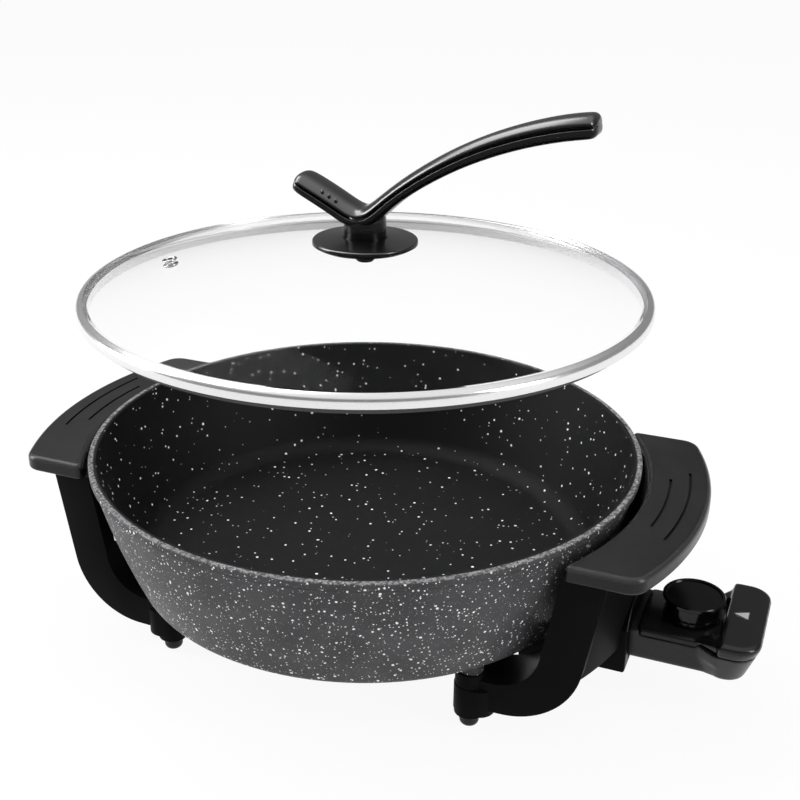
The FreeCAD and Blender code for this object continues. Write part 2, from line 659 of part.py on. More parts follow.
def make_handle(name, turn):
    """A wing: a flat arc, hollow underneath, with two grooves on top."""
    body = new_body(name, turn=turn)
    inner = handle_inner
    outer = inner + s.handle_width

    def wing(inset):
        half = s.handle_half - inset
        near, far = inner + inset, outer - inset
        return [(across(near, half), -half, -near), (across(far, half), -half),
                (across(far, half), half, far), (across(near, half), half)]

    pad(body, "XY_Plane", s.handle_thickness, offset=handle_low, outlines=[wing(0)])
    corner = across(outer, s.handle_half)
    inner_corner = across(inner, s.handle_half)
    for place_x, radius in ((corner, s.handle_corner), (inner_corner, s.handle_inner_corner)):
        round_edges(body, radius, lambda e: same(e.BoundBox.ZLength, s.handle_thickness)
                    and same(e.CenterOfMass.x, place_x))
    past_inner = (inner + s.handle_edge).value
    round_edges(body, s.handle_edge, lambda e: same(e.BoundBox.ZMin, handle_top)
                and e.BoundBox.XMax > past_inner)
    round_edges(body, s.handle_under_edge, lambda e: same(e.BoundBox.ZMax, handle_low)
                and e.BoundBox.XMax > past_inner)
    pocket(body, "XY_Plane", s.handle_thickness - s.handle_skin, offset=handle_low,
           outlines=[wing(s.handle_skin)])

    # Screw bosses and stiffening ribs inside the hollow
    ribs = int(s.handle_ribs.value)
    for number in range(1, ribs + 1):
        middle_y = (2 * number / (ribs + 1) - 1) * s.handle_half
        low_y, high_y = middle_y - s.handle_rib / 2, middle_y + s.handle_rib / 2
        near, far = inner + s.handle_rib_drop, outer - s.handle_rib_drop
        pad(body, "XY_Plane", s.handle_thickness - s.handle_skin - s.handle_rib_drop,
            offset=handle_low + s.handle_rib_drop, outlines=[[
                (across(near, low_y), low_y), (across(far, low_y), low_y),
                (across(far, high_y), high_y), (across(near, high_y), high_y)]])
    bosses = [(handle_screw_x, y * handle_screw_y) for y in (1, -1)]
    pad(body, "XY_Plane", s.handle_thickness - s.handle_skin, offset=handle_low,
        circles=[(x, y, s.handle_screw_boss) for x, y in bosses])
    pocket(body, "XY_Plane", s.handle_thickness - s.handle_skin, offset=handle_low,
           circles=[(x, y, s.small_shank + s.screw_gap / 2) for x, y in bosses])

    # Two curved grooves on top
    for inset, span in ((s.groove_inner, s.groove_inner_span), (s.groove_outer, s.groove_outer_span)):
        near, far = inner + inset - s.groove_width / 2, inner + inset + s.groove_width / 2
        half = span / 2
        pocket(body, "XY_Plane", s.groove_depth, offset=handle_top, back=True, outlines=[[
            (near * cosine(half), -near * sine(half), -near), (far * cosine(half), -far * sine(half)),
            (far * cosine(half), far * sine(half), far), (near * cosine(half), near * sine(half))]])
    return body


def make_foot(name, x, y):
    """A rubber foot: a rounded button with a stem that is pushed into the stand's boss."""
    body = turned(name, [
        (0, 0), (s.foot_radius, 0), (s.foot_radius, s.boss_low), (s.stem_radius, s.boss_low),
        (s.stem_radius, s.boss_low + s.stem_length), (0, s.boss_low + s.stem_length)],
        x=pot_x + x * foot_x, y=y * s.foot_y)
    round_edges(body, s.foot_round, lambda e: is_ring(e, s.foot_radius, 0))
    return body


def make_screw(name, head_radius, head_height, shank, length, **place):
    """A pan-head screw: the head's underside is at z = 0 and the shank points up."""
    return turned(name, [
        (0, s.drive_depth - head_height), (s.drive_radius, s.drive_depth - head_height),
        (s.drive_radius, -head_height), (head_radius - s.head_bevel, -head_height),
        (head_radius, s.head_bevel - head_height), (head_radius, 0), (shank, 0),
        (shank, length - s.screw_point), (shank - s.screw_point, length), (0, length)], **place)


def make_stand_screws():
    made = []
    bracket_length = boss_high - s.bracket_head_z - s.bracket_head_height + s.bracket_bite
    for number, (x, y) in enumerate(((1, -1), (1, 1), (-1, -1), (-1, 1))):
        made.append(make_screw(f"stand_screw_{number}", s.bracket_head_radius, s.bracket_head_height,
                               s.bracket_shank, bracket_length, x=pot_x + x * foot_x, y=y * s.foot_y,
                               z=s.bracket_head_z + s.bracket_head_height))
    stand = group("bracket_screws", made)
    made = []
    for number, (x, y) in enumerate(((1, -1), (1, 1), (-1, -1), (-1, 1))):
        made.append(make_screw(f"handle_screw_{number}", s.small_head_radius, s.small_head_height,
                               s.small_shank, s.web + s.handle_thickness - s.handle_skin - s.hole_slack,
                               x=pot_x + x * handle_screw_x, y=y * handle_screw_y, z=handle_low - s.web))
    return [stand, group("handle_screws", made)]


# ---------------------------------------------------------------------------
# Socket shroud
# ---------------------------------------------------------------------------

def make_socket_shroud():
    """A tray under the pan that covers the terminals, with an arched collar for the control."""
    body = new_body("socket_shroud")
    floor = shroud_low + s.shroud_wall
    tray_top = s.stand_height - s.tray_top_gap
    tray_start = shroud_back - s.tray_length
    pad(body, "YZ_Plane", shroud_depth, offset=shroud_back, outlines=[
        arched(s.shroud_half, shroud_low, 0)])
    round_edges(body, s.shroud_edge, lambda e: same(e.CenterOfMass.x, shroud_front))
    pad(body, "XY_Plane", tray_top - shroud_low, offset=shroud_low, outlines=[
        box_corners(tray_start, shroud_back + s.shroud_wall, -s.tray_half, s.tray_half)])
    inner_half = s.tray_half - s.shroud_wall
    pocket(body, "XY_Plane", tray_top - floor, offset=floor, outlines=[
        box_corners(tray_start + s.shroud_wall, shroud_back, -inner_half, inner_half)])
    pocket(body, "YZ_Plane", s.shroud_wall, offset=tray_start, outlines=[
        box_corners(-s.lead_notch_half, s.lead_notch_half, socket_z - s.lead_notch_drop, tray_top)])

    # The opening that the control's nose slides into, right through the collar
    opening = s.nose_half + s.nose_fit
    roof = socket_z + s.tub_high + s.nose_fit
    pocket(body, "YZ_Plane", shroud_depth, offset=shroud_back, outlines=[
        box_corners(-opening, opening, floor, roof)])

    # Hollow of the hood above the opening, from behind
    pocket(body, "YZ_Plane", shroud_depth - s.shroud_wall, offset=shroud_back,
           outlines=[arched(s.nose_half - s.shroud_wall, roof + s.shroud_wall, s.shroud_wall)])

    # Screw bosses
    for y in (1, -1):
        pad(body, "XY_Plane", tray_boss_top - shroud_low, offset=shroud_low,
            circles=[(tray_screw_x, y * s.tray_screw_y, s.tray_boss)])
    pocket(body, "XY_Plane", tray_boss_top - shroud_low, offset=shroud_low, circles=[
        (tray_screw_x, y * s.tray_screw_y, s.small_shank + s.screw_gap) for y in (1, -1)])
    pocket(body, "XY_Plane", s.tray_screw_seat, offset=shroud_low, circles=[
        (tray_screw_x, y * s.tray_screw_y, s.small_head_radius + s.screw_gap) for y in (1, -1)])
    return body


def make_shroud_screws():
    seat = shroud_low + s.tray_screw_seat
    length = tray_boss_top - seat + s.bracket_bite - s.hole_slack
    return group("shroud_screws", [
        make_screw(f"shroud_screw_{number}", s.small_head_radius, s.small_head_height, s.small_shank,
                   length, x=pot_x + tray_screw_x, y=y * s.tray_screw_y, z=seat)
        for number, y in enumerate((-1, 1))])


# ---------------------------------------------------------------------------
# Lid
# ---------------------------------------------------------------------------

band_radius = s.rim_radius - s.band_inset
vent_radius = band_radius - s.vent_inset
glass_radius = band_radius - s.band_sheet - s.glass_edge_gap
glass_ball = (glass_radius * glass_radius + s.glass_rise * s.glass_rise) / (2 * s.glass_rise)


def glass_height(radius):
    """Height of the glass's underside above the lid's seat, at this radius."""
    return s.glass_seat + s.glass_rise - glass_ball + across(glass_ball, radius)


def make_lid_glass():
    body = new_body("lid_glass", z=lid_z)
    crown = s.glass_seat + s.glass_rise
    upper_ball = glass_ball + s.glass_thickness
    upper_edge = crown + s.glass_thickness - upper_ball + across(upper_ball, glass_radius)
    turn_profile(body, [
        (s.knob_hole, glass_height(s.knob_hole)),
        (glass_radius, s.glass_seat, -glass_ball),
        (glass_radius, upper_edge),
        (s.knob_hole, crown + s.glass_thickness - upper_ball + across(upper_ball, s.knob_hole),
         upper_ball),
    ])
    round_edges(body, s.glass_edge_round, lambda e: is_ring(e, glass_radius, upper_edge)
                or is_ring(e, glass_radius, s.glass_seat))
    vent_x = vent_radius * cosine(s.vent_angle)
    vent_y = vent_radius * sine(s.vent_angle)
    pocket(body, "XY_Plane", 2 * s.glass_rise, circles=[(vent_x, vent_y, s.vent_neck + s.glass_fit)])
    return body


def make_lid_rim():
    """The steel band: a lip over the glass, an outer wall, a seat and a skirt inside the pan."""
    lip_inner = band_radius - s.lip_width
    upper_ball = glass_ball + s.glass_thickness
    crown = s.glass_seat + s.glass_rise + s.glass_thickness
    lip_low = crown - upper_ball + across(upper_ball, lip_inner) + s.glass_fit
    wall_inside = band_radius - s.band_sheet
    wall_low = crown - upper_ball + across(upper_ball, glass_radius) + s.glass_fit
    inner_round = s.band_round - s.band_sheet
    skirt = inside_top - wall_slope * s.skirt_depth - s.lid_fit
    body = turned("lid_rim", [
        (skirt, 0), (band_radius, 0), (band_radius, wall_low + s.band_sheet),
        (lip_inner, lip_low + s.band_sheet), (lip_inner, lip_low), (wall_inside, wall_low),
        (wall_inside, s.glass_seat - s.glass_fit), (skirt - s.band_sheet, s.glass_seat - s.glass_fit),
        (skirt - s.band_sheet, -s.skirt_depth), (skirt, -s.skirt_depth)], z=lid_z)
    round_edges(body, s.band_round, lambda e: is_ring(e, band_radius, wall_low + s.band_sheet))
    round_edges(body, inner_round, lambda e: is_ring(e, wall_inside, wall_low))
    round_edges(body, s.band_edge, lambda e: is_ring(e, band_radius, 0)
                or is_ring(e, lip_inner, lip_low + s.band_sheet))
    return body


def make_vent_grommet():
    vent_low = glass_height(vent_radius)
    top = vent_low + s.glass_thickness + s.vent_lip + s.vent_slack
    low = vent_low - s.vent_slack
    return turned("vent_grommet", [
        (s.vent_bore, low - s.vent_lip), (s.vent_flange, low - s.vent_lip), (s.vent_flange, low),
        (s.vent_neck, low), (s.vent_neck, top - s.vent_lip), (s.vent_flange, top - s.vent_lip),
        (s.vent_flange, top - s.vent_lip / 2), (s.vent_flange - s.vent_lip, top), (s.vent_bore, top)],
        x=pot_x + vent_radius * cosine(s.vent_angle), y=vent_radius * sine(s.vent_angle), z=lid_z)


glass_top = s.glass_seat + s.glass_rise + s.glass_thickness
disc_low = glass_top + s.gasket
hub_top = disc_low + s.disc_edge + s.disc_rise + s.hub_height


def make_knob_parts():
    """Gaskets, washer, screw and disc, stacked on the lid's axis."""
    glass_low = s.glass_seat + s.glass_rise
    upper = turned("knob_gasket_upper", [
        (s.knob_hole, glass_top), (s.gasket_radius, glass_top), (s.gasket_radius, disc_low),
        (s.knob_hole, disc_low)], z=lid_z)
    lower = turned("knob_gasket_lower", [
        (s.knob_hole, glass_low - s.gasket), (s.washer_radius, glass_low - s.gasket),
        (s.washer_radius, glass_low - s.glass_fit), (s.knob_hole, glass_low - s.glass_fit)], z=lid_z)
    gasket = group("knob_gasket", [upper, lower])
    washer_top = glass_low - s.gasket
    washer = turned("knob_washer", [
        (s.knob_screw_radius + s.screw_gap, washer_top - s.washer),
        (s.washer_radius, washer_top - s.washer), (s.washer_radius, washer_top),
        (s.knob_screw_radius + s.screw_gap, washer_top)], z=lid_z)
    seat = washer_top - s.washer
    screw = make_screw("knob_screw", s.knob_screw_head, s.knob_screw_rise, s.knob_screw_radius,
                       hub_top + s.knob_screw_bite - seat, z=lid_z + seat)
    disc_foot = s.disc_radius - s.disc_bevel
    disc_foot_low = disc_low - s.disc_skirt
    disc_shoulder = disc_low + s.disc_edge
    disc = turned("knob_base", [
        (s.knob_hole, disc_low), (disc_foot - s.disc_recess, disc_low),
        (disc_foot - s.disc_recess, disc_foot_low), (disc_foot, disc_foot_low),
        (s.disc_radius, disc_low + s.disc_round), (s.disc_radius, disc_shoulder),
        (s.hub_radius, disc_shoulder + s.disc_rise), (s.hub_radius, hub_top),
        (s.knob_hole, hub_top)], z=lid_z)
    round_edges(disc, s.disc_round, lambda e: is_ring(e, s.disc_radius, disc_shoulder))
    return [gasket, washer, screw, disc]


def arc_station(start, angle_from, angle_to, bow, way):
    """The point where an arc that turns from one slope to another ends, in degrees and as (x,
    height). way is 1 to the right of the valley and -1 to its left."""
    turn = 1 if angle_to.value > angle_from.value else -1
    x = start[0] + way * turn * bow * (sine(angle_to) - sine(angle_from))
    high = start[1] + turn * bow * (cosine(angle_from) - cosine(angle_to))
    return x, high


def knob_section(body, x, high, angle, half, side, crown):
    """One section across the V at a point of its ridge with this slope: an arched crown that
    overhangs two flat sides."""
    arch = (half * half + crown * crown) / (2 * crown)
    inner = half - s.crown_overhang
    sketch = new_sketch(body, "YZ_Plane", outlines=[[
        (-inner, -(crown + side)), (inner, -(crown + side)), (inner, -crown), (half, -crown),
        (-half, -crown, arch), (-inner, -crown)]])
    sketch.AttachmentOffset = FreeCAD.Placement(Vector(), FreeCAD.Rotation(Vector(1, 0, 0), 0))
    sketch.setExpression("AttachmentOffset.Base.z", x.formula)
    sketch.setExpression("AttachmentOffset.Base.y", high.formula)
    sketch.setExpression("AttachmentOffset.Rotation.Angle", (0 - angle).formula)
    return sketch


def is_crown_end(edge, station):
    """True for the arched edge across an end of the V, where its crown stops."""
    x, high, _, half, _, crown = station
    box = edge.BoundBox
    return (same(box.YLength, 2 * half, 0.1) and edge.Length > box.YLength + crown.value / 10
            and same(edge.CenterOfMass.x, x, crown.value) and same(edge.CenterOfMass.z, high, crown.value))


def make_knob_handle():
    """A stem that opens into a V: a short thumb rest and a long arched arm. The V's sections are
    swept along three arcs that run into each other."""
    body = new_body("knob_handle", z=lid_z + hub_top)
    stem = s.knob_stem_radius
    neck = stem - s.knob_neck_inset
    neck_top = s.knob_neck_low + s.knob_neck_height
    turn_profile(body, [
        (0, 0), (stem, 0), (stem, s.knob_neck_low), (neck, s.knob_neck_low), (neck, neck_top),
        (stem, neck_top), (stem, s.stem_top), (0, s.stem_top)])

    level = Size(0, "0")
    bottom = (s.valley_x, s.valley_high)
    right = arc_station(bottom, level, s.arm_angle, s.valley_round, 1)
    left = arc_station(bottom, level, s.thumb_angle, s.valley_round, -1)
    tip = arc_station(right, s.arm_angle, s.arm_end_angle, s.arm_bow, 1)
    end = arc_station(left, s.thumb_angle, s.thumb_end_angle, s.thumb_bow, -1)
    path = new_sketch(body, "XZ_Plane", closed=False, outlines=[[
        end, left + (-s.thumb_bow,), right + (s.valley_round,), tip + (-s.arm_bow,)]])
    valley = (s.valley_half, s.valley_side, s.valley_crown)
    stations = [
        end + (-s.thumb_end_angle, s.thumb_half, s.thumb_side, s.thumb_crown),
        left + (-s.thumb_angle,) + valley,
        right + (s.arm_angle,) + valley,
        tip + (s.arm_end_angle, s.arm_half, s.arm_side, s.arm_crown)]
    sections = [knob_section(body, *station) for station in stations]
    sweep = body.newObject("PartDesign::AdditivePipe", "V")
    sweep.Profile = sections[0]
    sweep.Spine = path
    sweep.Transformation = "Multisection"
    sweep.Sections = sections[1:]
    doc.recompute()
    round_edges(body, s.arm_end_round, lambda e: is_crown_end(e, stations[0])
                or is_crown_end(e, stations[-1]))
    pocket(body, "XY_Plane", s.knob_screw_bite, circles=[(0, 0, s.knob_screw_radius + s.seat_fit)])
    return body


# ---------------------------------------------------------------------------
# Thermostat control. Its frame: the dial's axis is Z, and z = 0 is the pins' level
# ---------------------------------------------------------------------------

control_place = {"x": pot_x + dial_x, "z": socket_z}
nose_x = shroud_back + s.nose_inset - dial_x
tub_floor = s.tub_wall - s.tub_low
cavity_half = s.nose_half - s.tub_wall
front_screws = [(-s.case_screw_front, y * s.case_screw_front_y) for y in (1, -1)]
bar_screws = [(s.case_screw_back, y * s.case_screw_back_y) for y in (1, -1)]
case_screws = front_screws + bar_screws
front_pilot = s.deck_edge - s.hole_slack
bar_pilot = 2 * s.tub_high


def bar_corners(end, half, corner):
    """Plan of the grip bar at one height."""
    return [(s.bar_start, -half), (end - corner, -half), (end, corner - half, corner),
            (end, half - corner), (end - corner, half, corner), (s.bar_start, half)]


def loft(body, sections):
    """A solid through plan outlines, each given as (height, corners)."""
    sketches = [new_sketch(body, "XY_Plane", outlines=[corners], offset=height)
                for height, corners in sections]
    feature = body.newObject("PartDesign::AdditiveLoft", "Loft")
    feature.Profile = sketches[0]
    feature.Sections = sketches[1:]
    doc.recompute()
    return feature


def make_control_lower_housing():
    """The tub: a flat nose that fills the socket, and the lower half of the grip bar."""
    body = new_body("control_lower_housing", **control_place)
    low = -s.tub_low
    pad(body, "XY_Plane", s.tub_low + s.tub_high, offset=low, outlines=[
        box_corners(nose_x, s.bar_start + s.bar_lap, -s.nose_half, s.nose_half)])
    loft(body, [(low, bar_corners(s.bar_foot_end, s.bar_foot_half, s.bar_foot_corner)),
                (s.tub_high, bar_corners(s.bar_seam_end, s.bar_seam_half, s.bar_corner))])
    round_edges(body, s.tub_edge, lambda e: same(e.BoundBox.ZMax, low)
                and (abs(e.CenterOfMass.y) > 1 or e.CenterOfMass.x > 0))
    round_edges(body, s.nose_edge, lambda e: same(e.CenterOfMass.x, nose_x)
                and (e.BoundBox.ZLength > 5 or e.CenterOfMass.z > 0))

    # Hollow for the works, with the bosses for the screws left standing
    pocket(body, "XY_Plane", s.tub_high - tub_floor, offset=tub_floor, outlines=[
        box_corners(-s.cavity_start, s.cavity_end, -cavity_half, cavity_half)])
    boss_low = low + s.hole_slack
    for spots, top in ((front_screws, -s.case_boss_drop), (bar_screws, s.tub_high)):
        pad(body, "XY_Plane", top - boss_low, offset=boss_low,
            circles=[(x, y, s.case_boss) for x, y in spots])
    pad(body, "XZ_Plane", s.bush_face - s.bar_foot_half + s.tub_wall, offset=-s.bush_face,
        circles=[(s.bush_x, -s.bush_drop, s.bush_boss)])
    pocket(body, "XZ_Plane", s.bush_face - cavity_half + s.hole_slack, offset=-s.bush_face,
           circles=[(s.bush_x, -s.bush_drop, s.bush_radius + s.seat_fit)])
    pocket(body, "XY_Plane", s.tub_low + s.tub_high, offset=low,
           circles=[(x, y, s.small_shank + s.screw_gap) for x, y in case_screws])
    pocket(body, "XY_Plane", s.case_recess, offset=low,
           circles=[(x, y, s.small_head_radius + s.screw_gap) for x, y in case_screws])

    # Seat for the deck, whose skirt comes lower than the nose's top
    pocket(body, "XY_Plane", s.tub_high - s.deck_low, offset=s.deck_low, outlines=[
        box_corners(-s.cavity_start, s.bar_start, -s.nose_half, s.nose_half)])

    # Bores in the nose for the contact sleeves and the probe
    nose_depth = -s.cavity_start - nose_x + s.hole_slack
    sleeve_bore = s.sleeve_radius + s.seat_fit
    pocket(body, "YZ_Plane", nose_depth, offset=nose_x, circles=[
        (-lead_y, 0, sleeve_bore), (lead_y, 0, sleeve_bore), (0, 0, s.probe_radius + s.seat_fit)])
    return body


def make_control_upper_housing():
    """The crowned deck under the dial and the raised bar that is gripped to pull the control out."""
    body = new_body("control_upper_housing", **control_place)
    half = s.nose_half
    rise = s.deck_high - s.deck_edge
    crown = (half * half + rise * rise) / (2 * rise)
    start = -s.deck_start
    pad(body, "YZ_Plane", s.bar_start - start, offset=start, outlines=[[
        (-half, s.deck_low), (half, s.deck_low), (half, s.deck_edge),
        (0, s.deck_high, crown), (-half, s.deck_edge, crown)]])
    round_edges(body, s.deck_round, lambda e: same(e.CenterOfMass.z, s.deck_edge)
                or (same(e.CenterOfMass.x, start) and e.CenterOfMass.z > s.deck_edge.value))
    loft(body, [(s.tub_high, bar_corners(s.bar_seam_end, s.bar_seam_half, s.bar_corner)),
                (s.bar_high, bar_corners(s.bar_end, s.bar_half, s.bar_corner))])
    round_edges(body, s.bar_edge, lambda e: same(e.BoundBox.ZMin, s.bar_high))

    # Hollow of the deck's skirt, open over the nose, hollow of the bar and the screws' bosses
    past_side, past_front = half + s.hole_slack, start - s.hole_slack
    pocket(body, "XY_Plane", s.tub_high - s.deck_low, offset=s.deck_low, outlines=[[
        (past_front, -past_side), (-s.cavity_start, -past_side), (-s.cavity_start, -cavity_half),
        (s.bar_start, -cavity_half), (s.bar_start, cavity_half), (-s.cavity_start, cavity_half),
        (-s.cavity_start, past_side), (past_front, past_side)]])
    pocket(body, "XY_Plane", s.bar_high - s.tub_high - s.tub_wall, offset=s.tub_high, outlines=[
        box_corners(s.bar_start + s.bar_wall, s.bar_seam_end - s.bar_wall,
                    s.bar_wall - s.bar_seam_half, s.bar_seam_half - s.bar_wall)])
    pad(body, "XY_Plane", s.deck_edge + s.case_boss_drop, offset=-s.case_boss_drop,
        circles=[(x, y, s.case_boss) for x, y in front_screws])
    pad(body, "XY_Plane", s.bar_high - s.tub_high - s.hole_slack, offset=s.tub_high,
        circles=[(x, y, s.case_bar_boss) for x, y in bar_screws])
    pocket(body, "XY_Plane", front_pilot + s.case_boss_drop, offset=-s.case_boss_drop,
           circles=[(x, y, s.small_shank + s.seat_fit) for x, y in front_screws])
    pocket(body, "XY_Plane", bar_pilot - s.tub_high, offset=s.tub_high,
           circles=[(x, y, s.small_shank + s.seat_fit) for x, y in bar_screws])
    pocket(body, "XY_Plane", s.deck_high + s.hole_slack, circles=[(0, 0, s.shaft_radius + s.shaft_fit)])
    pocket(body, "XY_Plane", s.bar_high, offset=s.tub_high, outlines=[lens_corners()])
    return body


def lens_corners():
    """A triangle that points at the dial."""
    back = s.lens_x + s.lens_length
    return [(s.lens_x, 0), (back, -s.lens_half), (back, s.lens_half)]


def make_control_works():
    """What the housings hold: probe, contact sleeves and blades, switch, lamp and lens."""
    made = []
    tip = probe_tip - dial_x
    switch_front = -s.switch_length / 2
    level = dict(control_place, tilt="to_x")
    made.append(turned("thermostat_probe", [
        (0, tip), (s.probe_radius - s.probe_point, tip), (s.probe_radius, tip + s.probe_point),
        (s.probe_radius, switch_front), (0, switch_front)], **level))
    sleeve_start = nose_x + s.sleeve_recess
    sleeve_end = sleeve_start + s.sleeve_length
    for side, name in ((-1, "front"), (1, "rear")):
        place = dict(level, y=side * lead_y)
        made.append(turned(f"contact_sleeve_{name}", [
            (s.pin_radius + s.sleeve_fit, sleeve_start), (s.sleeve_radius, sleeve_start),
            (s.sleeve_radius, sleeve_end), (s.pin_radius + s.sleeve_fit, sleeve_end)], **place))
        blade = new_body(f"contact_blade_{name}",
                         **dict(control_place, y=side * (lead_y - s.blade_inset)))
        pad(blade, "XY_Plane", s.blade_width, both=True, outlines=[
            box_corners(sleeve_end, switch_front, -s.blade_thickness / 2, s.blade_thickness / 2)])
        made.append(blade)

    switch = new_body("thermostat_switch", **control_place)
    pad(switch, "XY_Plane", s.switch_height, offset=tub_floor, outlines=[
        box_corners(switch_front, -switch_front, -s.switch_width / 2, s.switch_width / 2)])
    round_edges(switch, s.switch_bevel, lambda e: same(e.BoundBox.ZLength, s.switch_height),
                kind="Chamfer")
    pad(switch, "XY_Plane", s.tub_high - tub_floor, offset=tub_floor, circles=[(0, 0, s.switch_collar)])
    pocket(switch, "XY_Plane", s.shaft_low + s.dial_gap + s.tub_high, offset=-(s.shaft_low + s.dial_gap),
           circles=[(0, 0, s.shaft_radius + s.shaft_fit)])
    made.append(switch)

    lens_low = s.bar_high - s.tub_wall
    lens = new_body("indicator_lens", **control_place)
    pad(lens, "XY_Plane", s.tub_wall + s.lens_proud, offset=lens_low, outlines=[lens_corners()])
    made.append(lens)
    lamp_x = s.lens_x + s.lens_length - s.lamp_radius - s.nose_fit
    made.append(turned("indicator_lamp", [
        (0, lens_low - s.lamp_length), (s.lamp_radius, lens_low - s.lamp_length),
        (s.lamp_radius, lens_low - s.lamp_bevel), (s.lamp_radius - s.lamp_bevel, lens_low),
        (0, lens_low)],
        x=control_place["x"] + lamp_x, z=socket_z))

    bush_low = s.bush_face - s.bush_length
    bush_high = s.bush_face + s.bush_proud
    made.append(turned("cord_bush", [
        (s.bush_bore, bush_low), (s.bush_radius, bush_low), (s.bush_radius, s.bush_face),
        (s.bush_flange, s.bush_face), (s.bush_flange, bush_high - s.bush_bevel),
        (s.bush_flange - s.bush_bevel, bush_high), (s.bush_bore, bush_high)],
        x=control_place["x"] + s.bush_x, z=socket_z - s.bush_drop, tilt="to_y"))
    made.append(make_housing_screws())
    return made


def make_housing_screws():
    seat = s.case_recess - s.tub_low
    made = []
    for spots, pilot in ((front_screws, front_pilot), (bar_screws, bar_pilot)):
        made += [make_screw(f"housing_screw_{len(made) + number}", s.small_head_radius,
                            s.small_head_height, s.small_shank, pilot - s.case_screw_slack - seat,
                            x=control_place["x"] + x, y=y, z=socket_z + seat)
                 for number, (x, y) in enumerate(spots)]
    return group("housing_screws", made)


def make_dial():
    """The dial: a lipped cap on a hollow neck with fine notches round its foot, and its shaft."""
    knob = new_body("dial_knob", **control_place)
    foot = s.deck_high + s.dial_gap
    top = s.dial_high
    lip_low = top - s.dial_lip
    bore = s.shaft_radius + s.seat_fit
    turn_profile(knob, [
        (bore, foot), (s.dial_hub, foot), (s.dial_hub, s.dial_hollow_high),
        (s.dial_hollow, s.dial_hollow_high), (s.dial_hollow, foot), (s.dial_skirt, foot),
        (s.dial_skirt, foot + s.dial_skirt_height), (s.dial_neck, foot + s.dial_skirt_height),
        (s.dial_neck, lip_low - s.dial_bevel), (s.dial_radius - s.dial_bevel, lip_low),
        (s.dial_radius, lip_low + s.dial_bevel), (s.dial_radius, top - s.dial_bevel),
        (s.dial_radius - s.dial_bevel, top), (s.dial_radius - s.dial_rim, top),
        (s.dial_radius - s.dial_rim - s.dial_bevel, top - s.dial_dish), (0, top - s.dial_dish),
        (0, s.shaft_high), (bore, s.shaft_high)])
    notch = pocket(knob, "XY_Plane", s.dial_skirt_height, offset=foot,
                   circles=[(s.dial_skirt, 0, s.dial_notch)])
    pattern = knob.newObject("PartDesign::PolarPattern", "Notches")
    pattern.Originals = [notch]
    pattern.Axis = (next(i for i in knob.Origin.OriginFeatures if i.Role == "Z_Axis"), [""])
    pattern.Angle = 360
    pattern.setExpression("Occurrences", s.dial_notches.formula)
    knob.Tip = pattern
    doc.recompute()
    shaft = turned("dial_shaft", [
        (0, -s.shaft_low), (s.shaft_radius - s.shaft_bevel, -s.shaft_low),
        (s.shaft_radius, s.shaft_bevel - s.shaft_low),
        (s.shaft_radius, s.shaft_high), (0, s.shaft_high)], **control_place)
    return [knob, shaft]


COOKER = [make_pot_body(), make_heating_element()] + make_terminals()
COOKER += [make_bracket("left_bracket", 180), make_right_bracket()]
COOKER += [make_handle("left_handle", 180), make_handle("right_handle", 0)]
COOKER += [make_foot("front_right_foot", 1, -1), make_foot("rear_right_foot", 1, 1),
           make_foot("front_left_foot", -1, -1), make_foot("rear_left_foot", -1, 1)]
COOKER += make_stand_screws() + [make_socket_shroud(), make_shroud_screws()]
LID = [make_lid_glass(), make_lid_rim(), make_vent_grommet()] + make_knob_parts() + [make_knob_handle()]
CONTROL = [make_control_lower_housing(), make_control_upper_housing()] + make_control_works() + make_dial()
NODES = COOKER + LID + CONTROL

doc.recompute()
for item in doc.Objects:
    if "Invalid" in item.State or "Error" in item.State:
        raise RuntimeError(f"{item.Label} failed: {item.State}")
os.makedirs("parts", exist_ok=True)
for node in NODES:
    if node.Shape.isNull() or not node.Shape.isValid():
        raise RuntimeError(f"{node.Label} has no valid shape")
    node.Shape.exportStep(f"parts/{node.Label}.step")
print(len(NODES), "nodes")
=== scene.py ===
# %% [markdown]
# # An electric hot pot with its glass lid lifted off
# The pot is a round speckled pan on two black side stands, each under a flat wing handle. A
# thermostat control with a dial plugs into a socket on the right. The lid is a clear dome in a
# polished band, with a V-shaped lifting knob. The CAD frame holds every piece at its real size, and
# this script gives the pieces their finish and models the soft and the rolled ones again.

# %% Load the frame
import bpy
import math
from mathutils import Matrix, Vector


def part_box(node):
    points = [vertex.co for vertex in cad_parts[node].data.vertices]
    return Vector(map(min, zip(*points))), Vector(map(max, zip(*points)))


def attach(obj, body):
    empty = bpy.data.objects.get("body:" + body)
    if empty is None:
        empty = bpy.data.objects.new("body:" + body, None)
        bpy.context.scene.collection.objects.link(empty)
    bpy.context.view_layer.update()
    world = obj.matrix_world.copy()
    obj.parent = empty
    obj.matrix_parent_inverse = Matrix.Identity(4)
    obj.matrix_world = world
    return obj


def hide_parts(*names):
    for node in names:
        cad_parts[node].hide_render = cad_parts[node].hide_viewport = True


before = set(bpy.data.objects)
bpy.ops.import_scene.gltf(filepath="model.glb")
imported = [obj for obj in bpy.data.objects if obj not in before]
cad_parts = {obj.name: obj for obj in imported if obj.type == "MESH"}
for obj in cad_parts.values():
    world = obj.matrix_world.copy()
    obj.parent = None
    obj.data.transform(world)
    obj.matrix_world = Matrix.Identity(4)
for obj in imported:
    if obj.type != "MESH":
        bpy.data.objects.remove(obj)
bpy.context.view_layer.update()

MM = 0.001

# %% [markdown]
# Places are read from the frame, so that nothing has to be measured twice. The pan gives the pot's
# own axis and its rim, the dial gives the control's axis, and the lid's band gives the lid's seat.

